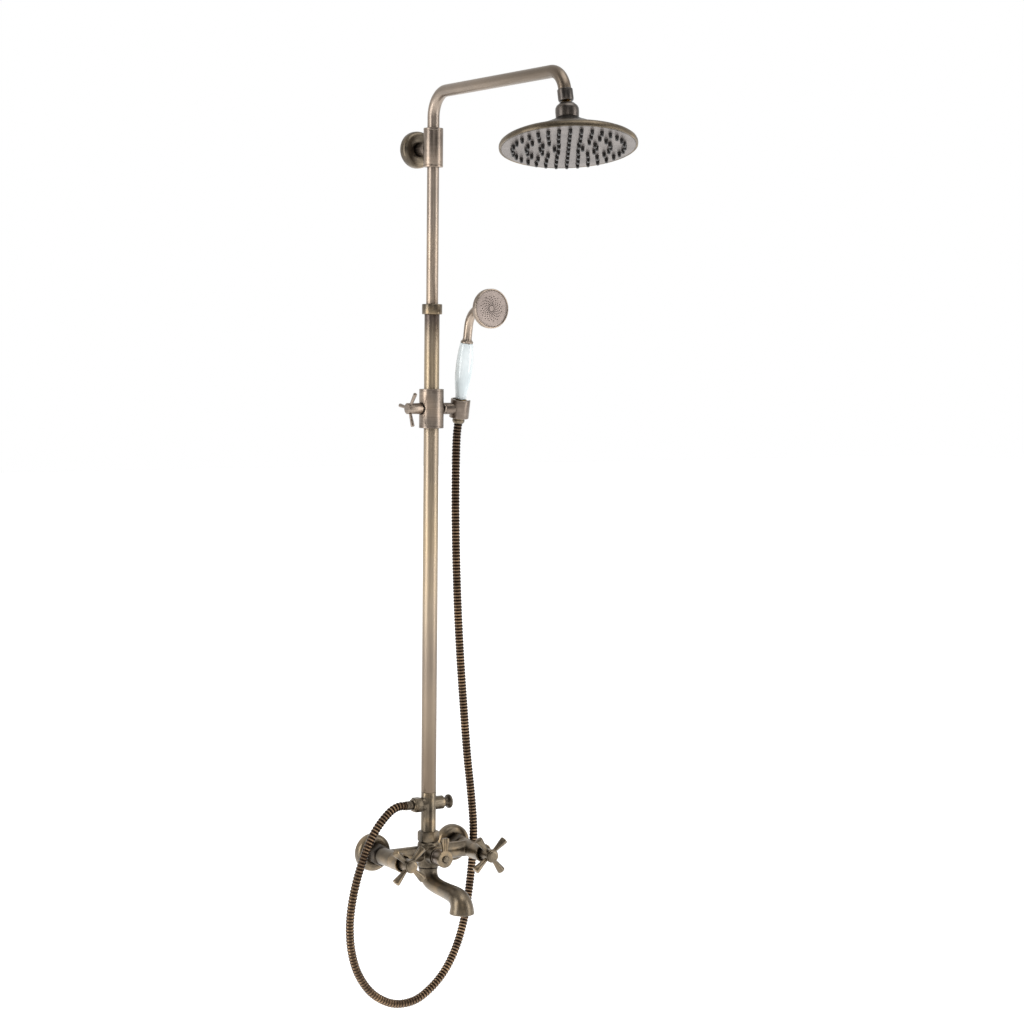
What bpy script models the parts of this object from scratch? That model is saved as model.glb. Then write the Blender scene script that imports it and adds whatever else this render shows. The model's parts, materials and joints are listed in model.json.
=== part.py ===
"""Exposed bath and shower column in aged brass, hung on a wall.

It stands as it is fitted: X runs along the wall, +Y points into the wall and Z is up. The origin is on
the wall's face, midway between the two water inlets and at their height. All sizes are in metres.
"""
import math

import bmesh
import bpy
from mathutils import Matrix, Vector

# ---- shared fits ----
FIT = 0.0003              # gap between pieces that touch or slide
THREAD_FIT = 0.0003       # radial gap of a screwed joint, drawn without its thread
HEAD_FACETS = 28          # facets round the rain head
FINE, MEDIUM, COARSE = 20, 14, 10     # facets round a large, a middling and a small turned piece

# ---- column and wall ----
INLET_SPACING = 0.150
COLUMN_OUT = 0.0535       # wall to column axis

# ---- lower riser, tee and union ----
RISER_R, RISER_WALL = 0.012, 0.0012
RISER_BOTTOM, RISER_TOP = 0.0988, 0.8705
TEE_BOTTOM, TEE_SPIGOT = 0.0284, 0.012
TEE_BORE_R = 0.0085
BRANCH_Z = 0.0800
BRANCH_R, BRANCH_REACH = 0.0108, 0.0155
OUTLET_R, OUTLET_REACH, OUTLET_BORE_R = 0.0085, 0.0262, 0.0058
DIVERTER_BOSS_REACH = 0.0258
DIVERTER_KNOB_R, DIVERTER_NECK_R, DIVERTER_KNOB_LENGTH = 0.0112, 0.0070, 0.0138
DIVERTER_SPINDLE_R = 0.0030
UNION_ACROSS_FLATS, UNION_HEIGHT = 0.0300, 0.0165
UNION_BOTTOM = 0.0194
UNION_LIP = 0.0042
TAIL_FLANGE_R, TAIL_FLANGE = 0.0132, 0.0032

# ---- lock collar and telescoping upper pipe ----
COLLAR_R, COLLAR_BOTTOM, COLLAR_TOP = 0.0160, 0.8618, 0.8780
COLLAR_LIP = 0.0030
GLAND_SEAL = 0.0026
PIPE_R, PIPE_WALL = 0.0095, 0.0010
PIPE_BOTTOM = 0.6000
GUIDE_LENGTH, GUIDE_LIP = 0.0140, 0.0034
ARM_Z, ARM_BEND_R = 1.2089, 0.0380
ARM_REACH = 0.3280        # column axis to the start of the outer bend
TIP_BEND_R, TIP_BEND_DEG = 0.0370, 77.5
TIP_STRAIGHT = 0.0070

# ---- wall bracket ----
BRACKET_Z = 1.1232
BRACKET_SLEEVE_R, BRACKET_SLEEVE_HEIGHT = 0.0155, 0.0610
BRACKET_POST_R = 0.0095
ROSETTE_R, ROSETTE_DEPTH, ROSETTE_WALL = 0.0292, 0.0140, 0.0012
WALL_PLATE_R, WALL_PLATE = 0.0220, 0.0050

# ---- rain head and its ball joint, along the head's own axis from the ball's centre ----
BALL_R, BALL_NECK_R, BALL_BORE_R = 0.0085, 0.0043, 0.0022
SEAT_WALL = 0.0014
FERRULE_R, FERRULE_LOW, FERRULE_HIGH = 0.0113, 0.0114, 0.0293
STUD_SHANK_R = 0.0070
SWIVEL_TOP, SWIVEL_LOW = 0.0082, -0.0140
SWIVEL_R, SWIVEL_OPENING_R, SWIVEL_TOP_R = 0.0172, 0.0072, 0.0108
INLET_BOSS_R = 0.0138
HEAD_R, HEAD_FACE = 0.1000, -0.0575
HEAD_WALL = 0.0015
HEAD_INLET_R = 0.0050
HEAD_RIM = 0.0030         # width of the shell's rim round the face plate
FACE_PLATE = 0.0012
MAT_THICKNESS = 0.0020
HEAD_LEAN_DEG, HEAD_ROLL_DEG, HEAD_SPIN_DEG = -11.6, 4.8, -32.1
NOZZLE_RINGS, NOZZLES_PER_RING = 4, 8
NOZZLE_MARGIN = 0.0192    # from the outer ring of nozzles to the edge of the head
NOZZLE_HOLE_R, NOZZLE_ROOT_R, NOZZLE_TIP_R, NOZZLE_PROUD = 0.0026, 0.0022, 0.0013, 0.0060

# ---- slider and handset holder ----
SLIDER_Z, SLIDER_HEIGHT, SLIDER_R = 0.7130, 0.0620, 0.0195
LINER_WALL = 0.0020
LINER_INSET = 0.0015
SCREW_R = 0.0040          # clamp screw and pivot pin
KNOB_R, KNOB_REACH = 0.0088, 0.0455
PIN_ROOT_R, PIN_TIP_R, PIN_REACH, PIN_SETBACK = 0.0024, 0.0031, 0.0300, 0.0050
PIN_DEGREES = (38.0, 159.0, 279.0)
PIVOT_R, PIVOT_COLLAR, PIVOT_PIN = 0.0092, 0.0042, 0.0125
CUP_X = 0.0530
CUP_R, CUP_HEIGHT = 0.0157, 0.0300
CUP_BORE_TOP_R, CUP_BORE_LOW_R = 0.0129, 0.0102
CUP_SLOT = 0.0145
CUP_LEAN_DEG = 10.6       # the cup and the handset lean out from the wall

# ---- handset, along the cup's axis from the pivot ----
CONE_TOP, CONE_LOW = 0.0138, -0.0240
CONE_TOP_R, CONE_LOW_R = 0.0124, 0.0076
CONE_THREAD = 0.0100
TAIL_R, TAIL_BORE_R, TAIL_FLANGE_UP = 0.0080, 0.0034, 0.0016
TAIL_TUBE_R = 0.0043
HANDLE_LOW, HANDLE_HIGH = 0.0160, 0.1060
HANDLE_RADII = (0.0089, 0.0101, 0.0118, 0.0130, 0.0136, 0.0135, 0.0130, 0.0120, 0.0102)
NECK_R, NECK_COLLAR_R, NECK_COLLAR = 0.0070, 0.0101, 0.0040
NECK_STRAIGHT = 0.0270    # from the top of the handle to the bend
NECK_BEND_R, NECK_BORE_R, NECK_TIP_STRAIGHT = 0.0330, 0.0052, 0.0030
HANDSET_BELL = 0.0333        # from the end of the neck to the front of the rim
HANDSET_R, HANDSET_RIM, HANDSET_FACE_R, HANDSET_WALL = 0.0310, 0.0090, 0.0285, 0.0013
HANDSET_FACE_INSET, HANDSET_PLATE = 0.0016, 0.0014

# ---- hose ----
HOSE_R = 0.0065
HOSE_NUT_FLATS, HOSE_NUT_LENGTH, HOSE_NUT_LIP = 0.0220, 0.0150, 0.0028
FERRULE_TUBE_R, FERRULE_FLANGE_R, FERRULE_FLANGE = 0.0072, 0.0083, 0.0014
FERRULE_END = 0.0430
HOSE_STEP = 0.0340        # one point of the hose every two or three diameters

# ---- mixer body ----
BODY_TUBE_R, BODY_BORE_R = 0.0130, 0.0090
BARREL_R, BARREL_BORE_R = 0.0135, 0.0105
BARREL_BACK, BARREL_FRONT = 0.0363, 0.0770
INLET_TAIL_R, INLET_TAIL_BACK = 0.0104, 0.0282
CORE_R, CORE_BORE_R, CORE_TOP, CORE_LOW = 0.0175, 0.0097, 0.0188, -0.0225
SPIGOT_R, SPIGOT_TOP = 0.0132, 0.0265
SELECTOR_BOSS_R, SELECTOR_BOSS_FRONT, SELECTOR_BORE_R = 0.0155, 0.0840, 0.0110
SELECTOR_Z = -0.0010

# ---- wall inlets, by distance from the wall ----
ESCUTCHEON_R, ESCUTCHEON_DEPTH, ESCUTCHEON_WALL = 0.0300, 0.0150, 0.0012
ECCENTRIC_R, ECCENTRIC_THREAD_R, ECCENTRIC_SHOULDER, ECCENTRIC_FRONT = 0.0102, 0.0130, 0.0080, 0.0276
INLET_NUT_FLATS, INLET_NUT_BACK, INLET_NUT_LIP = 0.0305, 0.0156, 0.0046

# ---- valves and cross handles, by distance from the wall ----
HEADWORK_BACK, HEADWORK_FLANGE, HEADWORK_FRONT = 0.0640, 0.0050, 0.0970
HEADWORK_NECK_R = 0.0080
SPINDLE_R, SPINDLE_BACK, SPINDLE_FRONT = 0.0030, 0.0660, 0.1180
SHROUD_R, SHROUD_BORE_R, SHROUD_FRONT = 0.0142, 0.0124, 0.1020
HUB_BACK, HUB_FRONT, HUB_R = 0.1000, 0.1285, 0.0100
HUB_RING_R, HUB_RING = 0.0108, 0.0030
SPOKE_OUT, SPOKE_REACH, SPOKE_ROOT_R, SPOKE_TIP_R = 0.1205, 0.0355, 0.0033, 0.0062
CAP_R, CAP_FRONT = 0.0096, 0.1320
HANDLE_REST_DEG = {"left": 46.5, "right": 39.0}

# ---- selector, by distance from the wall ----
BONNET_R, BONNET_FRONT = 0.0128, 0.1020
SELECTOR_SPINDLE_BACK, SELECTOR_SPINDLE_FRONT = 0.0700, 0.1050
LEVER_HUB_R, LEVER_HUB_FRONT = 0.0136, 0.1072
LEVER_REACH, LEVER_ROOT_W, LEVER_WAIST_W, LEVER_TIP_W = 0.0430, 0.0110, 0.0096, 0.0155
LEVER_THICK = 0.0044
BUTTON_R, BUTTON_FRONT, BUTTON_BACK = 0.0050, 0.1102, 0.1056

# ---- spout ----
SPOUT_TOP, SPOUT_SPIGOT_R, SPOUT_SPIGOT_BORE_R, SPOUT_SPIGOT = -0.0232, 0.0080, 0.0055, 0.0110
SPOUT_NECK_R, SPOUT_ARM_R, SPOUT_BORE_R = 0.0150, 0.0118, 0.0075
SPOUT_OUT = 0.1570        # wall to the nozzle's axis
NOZZLE_TOP, NOZZLE_LOW, NOZZLE_R = -0.0400, -0.0780, 0.0200
AERATOR_R, AERATOR_DEPTH = 0.0150, 0.0110


# ---- scene and finishes ----

def clear_scene():
    for item in list(bpy.data.objects):
        bpy.data.objects.remove(item, do_unlink=True)


def new_collection(name):
    group = bpy.data.collections.new(name)
    bpy.context.scene.collection.children.link(group)
    return group


FINISHES = {
    # sRGB-linear colour, roughness, metallic
    "aged brass": ((0.170, 0.115, 0.078, 1.0), 0.38, 1.0),
    "dark bronze": ((0.060, 0.042, 0.031, 1.0), 0.45, 1.0),
    "raw brass": ((0.420, 0.290, 0.120, 1.0), 0.35, 1.0),
    "glazed porcelain": ((0.760, 0.800, 0.800, 1.0), 0.12, 0.0),
    "silicone": ((0.018, 0.017, 0.016, 1.0), 0.55, 0.0),
    "acetal": ((0.120, 0.115, 0.110, 1.0), 0.50, 0.0),
    "rubber": ((0.020, 0.020, 0.020, 1.0), 0.70, 0.0),
    "stainless steel": ((0.420, 0.410, 0.390, 1.0), 0.30, 1.0),
}


def finish_for(name, finish):
    colour, roughness, metallic = FINISHES[finish]
    material = bpy.data.materials.new(f"{name} {finish}")
    material.use_nodes = True
    shader = material.node_tree.nodes["Principled BSDF"]
    shader.inputs["Base Color"].default_value = colour
    shader.inputs["Roughness"].default_value = roughness
    shader.inputs["Metallic"].default_value = metallic
    return material


# ---- tools for making pieces ----

def place(x=0.0, y=0.0, z=0.0, turn=None):
    """Where a piece's own frame stands."""
    return Matrix.Translation((x, y, z)) @ (turn if turn else Matrix.Identity(4))


OUT = Matrix.Rotation(math.radians(90.0), 4, "X")       # own Z points out from the wall
RIGHT = Matrix.Rotation(math.radians(90.0), 4, "Y")     # own Z points along +X
LEFT = Matrix.Rotation(math.radians(-90.0), 4, "Y")     # own Z points along -X
COLUMN = place(y=-COLUMN_OUT)
LEAN = Matrix.Rotation(math.radians(CUP_LEAN_DEG), 4, "X")


def add_object(name, mesh, frame, finish, group):
    piece = bpy.data.objects.new(name, mesh)
    piece.matrix_world = frame
    mesh.materials.clear()
    mesh.materials.append(finish_for(name, finish))
    group.objects.link(piece)
    return piece


def turned(name, profile, frame, finish, facets=MEDIUM, ring=False, group=None):
    """A lathe-turned piece: (radius, height) points run down the outer side, then up a ring's bore."""
    mesh = bpy.data.meshes.new(name)
    points = [(radius, 0.0, height) for radius, height in profile]
    edges = [(n, n + 1) for n in range(len(points) - 1)]
    if ring:
        edges.append((len(points) - 1, 0))
    mesh.from_pydata(points, edges, [])
    piece = add_object(name, mesh, frame, finish, group or PARTS)
    screw = piece.modifiers.new("Turn", "SCREW")
    screw.axis = "Z"
    screw.angle = math.tau
    screw.steps = screw.render_steps = facets
    screw.use_merge_vertices = True
    screw.merge_threshold = 0.00001
    screw.use_smooth_shade = True
    return piece


def sleeve(name, outer, bore, low, high, frame, finish, facets=MEDIUM, group=None):
    """A plain ring or tube between two heights."""
    profile = [(outer, high), (outer, low), (bore, low), (bore, high)]
    return turned(name, profile, frame, finish, facets, True, group)


def rod(name, radius, low, high, frame, finish, facets=MEDIUM, group=None):
    """A plain solid rod between two heights."""
    profile = [(0.0, high), (radius, high), (radius, low), (0.0, low)]
    return turned(name, profile, frame, finish, facets, False, group)


def cutter(maker, *args, **kwargs):
    """A guide that cuts or joins a piece and isn't one itself."""
    guide = maker(*args, finish="aged brass", group=CUTTERS, **kwargs)
    guide.hide_render = True
    guide.display_type = "WIRE"
    return guide


def combine(piece, guide, operation):
    step = piece.modifiers.new(operation.title(), "BOOLEAN")
    step.operation = operation
    step.solver = "EXACT"
    step.object = guide


def hexagon(name, flats, low, high, frame, finish="aged brass"):
    """A hexagonal bar."""
    corner = flats / 2.0 / math.cos(math.pi / 6.0)
    bm = bmesh.new()
    bmesh.ops.create_cone(bm, cap_ends=True, segments=6, radius1=corner, radius2=corner,
                          depth=high - low)
    bmesh.ops.translate(bm, verts=bm.verts, vec=(0.0, 0.0, (low + high) / 2.0))
    mesh = bpy.data.meshes.new(name)
    bm.to_mesh(mesh)
    bm.free()
    return add_object(name, mesh, frame, finish, PARTS)


def bent_bar(name, points, radii, frame, finish, sides=16, closed_ends=True, group=None):
    """A round bar or open tube that follows points, with a radius at each."""
    curve = bpy.data.curves.new(name, "CURVE")
    curve.dimensions = "3D"
    curve.bevel_depth = 1.0
    curve.bevel_resolution = (sides - 4) // 2
    curve.use_fill_caps = closed_ends
    spline = curve.splines.new("POLY")
    spline.points.add(len(points) - 1)
    for knot, point, radius in zip(spline.points, points, radii):
        knot.co = (*point, 1.0)
        knot.radius = radius
    guide = bpy.data.objects.new(name + " path", curve)
    guide.matrix_world = frame
    bpy.context.scene.collection.objects.link(guide)
    depsgraph = bpy.context.evaluated_depsgraph_get()
    mesh = bpy.data.meshes.new_from_object(guide.evaluated_get(depsgraph))
    bpy.data.objects.remove(guide, do_unlink=True)
    bm = bmesh.new()
    bm.from_mesh(mesh)
    bmesh.ops.remove_doubles(bm, verts=bm.verts, dist=0.000005)
    bm.to_mesh(mesh)
    bm.free()
    mesh.name = name
    return add_object(name, mesh, frame, finish, group or PARTS)


def arc(centre, radius, start_deg, end_deg, steps):
    """Points of an arc in the YZ plane, angles measured from +Y towards +Z."""
    points = []
    for n in range(steps + 1):
        angle = math.radians(start_deg + (end_deg - start_deg) * n / steps)
        points.append(Vector((0.0, centre[0] + radius * math.cos(angle),
                              centre[1] + radius * math.sin(angle))))
    return points


# ---- wall bracket ----

def wall_bracket():
    frame = place(z=BRACKET_Z, turn=OUT)
    plate_profile = [(WALL_PLATE_R, WALL_PLATE), (WALL_PLATE_R, FIT), (0.0035, FIT),
                     (0.0035, WALL_PLATE)]
    turned("bracket_wall_plate", plate_profile, frame, "stainless steel", COARSE, True)
    hole = BRACKET_POST_R + FIT
    outer = [(hole, ROSETTE_DEPTH), (ROSETTE_R * 0.86, ROSETTE_DEPTH),
             (ROSETTE_R, ROSETTE_DEPTH * 0.62), (ROSETTE_R, 0.0)]
    inner = [(ROSETTE_R - ROSETTE_WALL, 0.0), (ROSETTE_R - ROSETTE_WALL, ROSETTE_DEPTH * 0.58),
             (ROSETTE_R * 0.83, ROSETTE_DEPTH - ROSETTE_WALL), (hole, ROSETTE_DEPTH - ROSETTE_WALL)]
    turned("bracket_rosette", outer + inner, frame, "aged brass", FINE, True)
    rod("bracket_post", BRACKET_POST_R, WALL_PLATE + FIT, COLUMN_OUT - BRACKET_SLEEVE_R - FIT,
        frame, "aged brass")
    half = BRACKET_SLEEVE_HEIGHT / 2.0
    ring = sleeve("bracket_sleeve", BRACKET_SLEEVE_R, PIPE_R + FIT, BRACKET_Z - half,
                  BRACKET_Z + half, COLUMN, "aged brass")
    side = place(y=-COLUMN_OUT, z=BRACKET_Z, turn=RIGHT)
    combine(ring, cutter(rod, "grub screw hole", 0.0025 + THREAD_FIT, 0.0, BRACKET_SLEEVE_R * 2,
                         side, facets=COARSE), "DIFFERENCE")
    rod("bracket_grub_screw", 0.0025, PIPE_R + 2 * FIT, BRACKET_SLEEVE_R - 0.0010, side,
        "stainless steel", 12)


# ---- riser ----

def riser():
    bore = RISER_R - RISER_WALL
    sleeve("riser_lower", RISER_R, bore, RISER_BOTTOM, RISER_TOP, COLUMN, "aged brass")
    seal_low = RISER_TOP + FIT
    cavity_top = COLLAR_TOP - COLLAR_LIP
    collar = [(COLLAR_R - 0.0008, COLLAR_TOP), (COLLAR_R, COLLAR_TOP - 0.0008),
              (COLLAR_R, COLLAR_BOTTOM + 0.0008), (COLLAR_R - 0.0008, COLLAR_BOTTOM),
              (RISER_R + FIT, COLLAR_BOTTOM), (RISER_R + FIT, cavity_top),
              (PIPE_R + FIT, cavity_top), (PIPE_R + FIT, COLLAR_TOP)]
    turned("riser_lock_collar", collar, COLUMN, "aged brass", MEDIUM, True)
    sleeve("riser_gland_seal", RISER_R, PIPE_R + FIT, seal_low, seal_low + GLAND_SEAL, COLUMN,
           "rubber")


def arm_end():
    """Where the outer bend ends, and the way the pipe points there."""
    turn = math.radians(TIP_BEND_DEG)
    y = -COLUMN_OUT - ARM_REACH - TIP_BEND_R * math.sin(turn)
    z = ARM_Z - TIP_BEND_R * (1.0 - math.cos(turn))
    return Vector((0.0, y, z)), Vector((0.0, -math.cos(turn), -math.sin(turn)))


def gooseneck():
    """The upper pipe, bent over at the top and down again at the tip."""
    inner_bend = arc((-COLUMN_OUT - ARM_BEND_R, ARM_Z - ARM_BEND_R), ARM_BEND_R, 0.0, 90.0, 4)
    outer_bend = arc((-COLUMN_OUT - ARM_REACH, ARM_Z - TIP_BEND_R), TIP_BEND_R, 90.0,
                     90.0 + TIP_BEND_DEG, 4)
    end, way = arm_end()
    points = [Vector((0.0, -COLUMN_OUT, PIPE_BOTTOM))] + inner_bend + outer_bend
    points.append(end + way * TIP_STRAIGHT)
    pipe = bent_bar("riser_upper", points, [PIPE_R] * len(points), Matrix.Identity(4),
                    "aged brass", 14, closed_ends=False)
    wall = pipe.modifiers.new("Wall", "SOLIDIFY")
    wall.thickness = PIPE_WALL
    wall.offset = -1.0
    low = PIPE_BOTTOM - GUIDE_LIP
    outer = RISER_R - RISER_WALL - FIT
    guide = [(outer, low + GUIDE_LENGTH), (outer, low), (PIPE_R - PIPE_WALL, low),
             (PIPE_R - PIPE_WALL, PIPE_BOTTOM - FIT), (PIPE_R + FIT, PIPE_BOTTOM - FIT),
             (PIPE_R + FIT, low + GUIDE_LENGTH)]
    turned("riser_guide_bush", guide, COLUMN, "acetal", MEDIUM, True)


# ---- rain head ----

def ball_frames():
    """The frame of the pipe's tip and that of the head, both at the ball's centre."""
    end, way = arm_end()
    centre = end + way * FERRULE_HIGH
    tip = Matrix.Translation(centre) @ Matrix.Rotation(math.radians(TIP_BEND_DEG - 90.0), 4, "X")
    lean = Matrix.Rotation(math.radians(HEAD_LEAN_DEG), 4, "X")
    roll = Matrix.Rotation(math.radians(HEAD_ROLL_DEG), 4, "Y")
    spin = Matrix.Rotation(math.radians(HEAD_SPIN_DEG), 4, "Z")
    return tip, Matrix.Translation(centre) @ roll @ lean @ spin


def zone(radius, start_deg, end_deg, steps):
    """Points of a sphere's outline between two elevations."""
    points = []
    for n in range(steps + 1):
        angle = math.radians(start_deg + (end_deg - start_deg) * n / steps)
        points.append((radius * math.cos(angle), radius * math.sin(angle)))
    return points


def ball_joint(tip, head):
    pipe_end = FERRULE_HIGH - TIP_STRAIGHT
    ferrule = [(FERRULE_R - 0.0006, FERRULE_HIGH), (FERRULE_R, FERRULE_HIGH - 0.0008),
               (FERRULE_R, FERRULE_LOW + 0.0030), (FERRULE_R - 0.0016, FERRULE_LOW),
               (STUD_SHANK_R + THREAD_FIT, FERRULE_LOW),
               (STUD_SHANK_R + THREAD_FIT, pipe_end - 2 * FIT), (PIPE_R + FIT, pipe_end - 2 * FIT),
               (PIPE_R + FIT, FERRULE_HIGH)]
    turned("arm_ferrule", ferrule, tip, "aged brass", MEDIUM, True)
    shank_top = pipe_end - 4 * FIT
    top_deg = math.degrees(math.acos(BALL_NECK_R / BALL_R))
    low_deg = -math.degrees(math.acos(BALL_BORE_R / BALL_R))
    stud = [(STUD_SHANK_R, shank_top), (STUD_SHANK_R, FERRULE_LOW), (BALL_NECK_R, FERRULE_LOW - 0.0008)]
    stud += zone(BALL_R, top_deg, low_deg, 7)
    stud += [(BALL_BORE_R, shank_top)]
    turned("ball_stud", stud, tip, "raw brass", MEDIUM, True)
    inner, outer = BALL_R + FIT, BALL_R + FIT + SEAT_WALL
    turned("ball_seat_ring", zone(outer, 38.0, 10.0, 3) + zone(inner, 10.0, 38.0, 3), head,
           "acetal", MEDIUM, True)
    turned("ball_seal_cup", zone(outer, -14.0, -50.0, 3) + zone(inner, -50.0, -14.0, 3), head,
           "rubber", MEDIUM, True)


def swivel_nut(head):
    seat = BALL_R + 2 * FIT + SEAT_WALL
    top_deg = math.degrees(math.acos(SWIVEL_OPENING_R / seat))
    outer = [(SWIVEL_OPENING_R + 0.0012, SWIVEL_TOP), (SWIVEL_TOP_R, SWIVEL_TOP),
             (SWIVEL_R - 0.0016, SWIVEL_TOP - 0.0046), (SWIVEL_R, SWIVEL_TOP - 0.0130),
             (SWIVEL_R - 0.0008, SWIVEL_LOW)]
    bore = [(INLET_BOSS_R + THREAD_FIT, SWIVEL_LOW), (INLET_BOSS_R + THREAD_FIT, 0.0)]
    turned("swivel_nut", outer + bore + zone(seat, 0.0, top_deg, 3), head, "aged brass", FINE, True)


def head_shell(head):
    seat = BALL_R + 2 * FIT + SEAT_WALL
    low_deg = -56.0
    top = SWIVEL_LOW - FIT
    edge = HEAD_R - HEAD_RIM
    outer = [(INLET_BOSS_R, -2 * FIT), (INLET_BOSS_R, top), (SWIVEL_R, top), (0.0215, HEAD_FACE + 0.0402),
             (0.0320, HEAD_FACE + 0.0350), (HEAD_R * 0.42, HEAD_FACE + 0.0305),
             (HEAD_R * 0.60, HEAD_FACE + 0.0230), (HEAD_R * 0.80, HEAD_FACE + 0.0158),
             (HEAD_R * 0.95, HEAD_FACE + 0.0106), (HEAD_R, HEAD_FACE + 0.0056), (HEAD_R, HEAD_FACE)]
    plate_back = HEAD_FACE + FACE_PLATE + FIT
    inner = [(edge, HEAD_FACE), (edge, plate_back + MAT_THICKNESS + 0.0008),
             (HEAD_R * 0.84, HEAD_FACE + 0.0140 - HEAD_WALL), (HEAD_R * 0.42, HEAD_FACE + 0.0295 - HEAD_WALL),
             (HEAD_INLET_R, top - 0.0060)]
    bowl = zone(seat, low_deg, -3.0, 4)
    turned("head_shell", outer + inner + [(HEAD_INLET_R, bowl[0][1])] + bowl, head, "aged brass",
           HEAD_FACETS, True)


def nozzle_places():
    """A middle nozzle and rings round it, each ring with eight more than the last."""
    places = [(0.0, 0.0)]
    for ring in range(1, NOZZLE_RINGS + 1):
        count = ring * NOZZLES_PER_RING
        radius = (HEAD_R - NOZZLE_MARGIN) * ring / NOZZLE_RINGS
        for n in range(count):
            angle = math.tau * n / count
            places.append((radius * math.cos(angle), radius * math.sin(angle)))
    return places


def cone_field(name, frame, low, high, low_r, high_r, finish, group, sides=5):
    """One mesh of separate cones, one at each nozzle's place."""
    bm = bmesh.new()
    for x, y in nozzle_places():
        spot = Matrix.Translation((x, y, (low + high) / 2.0))
        bmesh.ops.create_cone(bm, cap_ends=True, segments=sides, radius1=low_r, radius2=high_r,
                              depth=high - low, matrix=spot)
    mesh = bpy.data.meshes.new(name)
    bm.to_mesh(mesh)
    bm.free()
    return add_object(name, mesh, frame, finish, group)


def head_face(head):
    back = HEAD_FACE + FACE_PLATE
    plate_r = HEAD_R - HEAD_RIM - FIT
    plate = rod("head_face_plate", plate_r, HEAD_FACE, back, head, "aged brass", HEAD_FACETS)
    holes = cutter(cone_field, "nozzle holes", head, HEAD_FACE - 0.002, back + 0.002, NOZZLE_HOLE_R,
                   NOZZLE_HOLE_R)
    combine(plate, holes, "DIFFERENCE")
    mat_low, mat_high = back + FIT, back + FIT + MAT_THICKNESS
    mat = rod("head_nozzle_mat", plate_r - 0.0030, mat_low, mat_high, head, "silicone", FINE)
    nozzles = cutter(cone_field, "nozzles", head, HEAD_FACE - NOZZLE_PROUD, mat_low + 0.0005,
                     NOZZLE_TIP_R, NOZZLE_ROOT_R)
    combine(mat, nozzles, "UNION")


def rain_head():
    tip, head = ball_frames()
    ball_joint(tip, head)
    swivel_nut(head)
    head_shell(head)
    head_face(head)


# ---- slider and holder ----

def slider():
    low, high = SLIDER_Z - SLIDER_HEIGHT / 2.0, SLIDER_Z + SLIDER_HEIGHT / 2.0
    liner_r = RISER_R + FIT + LINER_WALL
    sleeve("slider_liner", liner_r, RISER_R + FIT, low + LINER_INSET, high - LINER_INSET, COLUMN,
           "acetal")
    bore = liner_r + FIT
    edge = 0.0007
    body = [(SLIDER_R - edge, high), (SLIDER_R, high - edge), (SLIDER_R, low + edge),
            (SLIDER_R - edge, low), (bore, low), (bore, high)]
    casing = turned("slider_sleeve", body, COLUMN, "aged brass", FINE, True)
    across = place(y=-COLUMN_OUT, z=SLIDER_Z, turn=RIGHT)
    combine(casing, cutter(rod, "slider screw holes", SCREW_R + THREAD_FIT, -SLIDER_R * 1.5,
                           SLIDER_R * 1.5, across, facets=COARSE), "DIFFERENCE")
    clamp_knob(liner_r)
    holder_pivot(liner_r)


def clamp_knob(liner_r):
    frame = place(y=-COLUMN_OUT, z=SLIDER_Z, turn=LEFT)
    profile = [(0.0, KNOB_REACH), (KNOB_R - 0.0012, KNOB_REACH), (KNOB_R, KNOB_REACH - 0.0010),
               (KNOB_R, SLIDER_R + FIT), (SCREW_R, SLIDER_R + FIT), (SCREW_R, liner_r + 2 * FIT),
               (0.0, liner_r + 2 * FIT)]
    knob = turned("slider_clamp_knob", profile, frame, "aged brass", COARSE)
    for n, degrees in enumerate(PIN_DEGREES):
        # a pin's angle is measured from straight up towards the room
        angle = math.radians(degrees)
        way = Vector((0.0, -math.sin(angle), math.cos(angle)))
        root = Vector((-KNOB_REACH + PIN_SETBACK, -COLUMN_OUT, SLIDER_Z))
        turn = way.to_track_quat("Z", "Y").to_matrix().to_4x4()
        pin = [(0.0, PIN_REACH), (PIN_TIP_R - 0.0010, PIN_REACH), (PIN_TIP_R, PIN_REACH - 0.0010),
               (PIN_ROOT_R, KNOB_R), (PIN_ROOT_R, KNOB_R / 2.0), (0.0, KNOB_R / 2.0)]
        combine(knob, cutter(turned, f"clamp pin {n + 1}", pin, place(*root, turn), facets=10), "UNION")


def holder_pivot(liner_r):
    frame = place(y=-COLUMN_OUT, z=SLIDER_Z, turn=RIGHT)
    base = SLIDER_R + FIT
    profile = [(0.0, base + PIVOT_COLLAR + PIVOT_PIN), (SCREW_R, base + PIVOT_COLLAR + PIVOT_PIN),
               (SCREW_R, base + PIVOT_COLLAR), (PIVOT_R, base + PIVOT_COLLAR), (PIVOT_R, base),
               (SCREW_R, base), (SCREW_R, liner_r + 2 * FIT), (0.0, liner_r + 2 * FIT)]
    turned("holder_pivot", profile, frame, "aged brass", COARSE)


def cup_frame():
    return place(CUP_X, -COLUMN_OUT, SLIDER_Z, LEAN)


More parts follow.
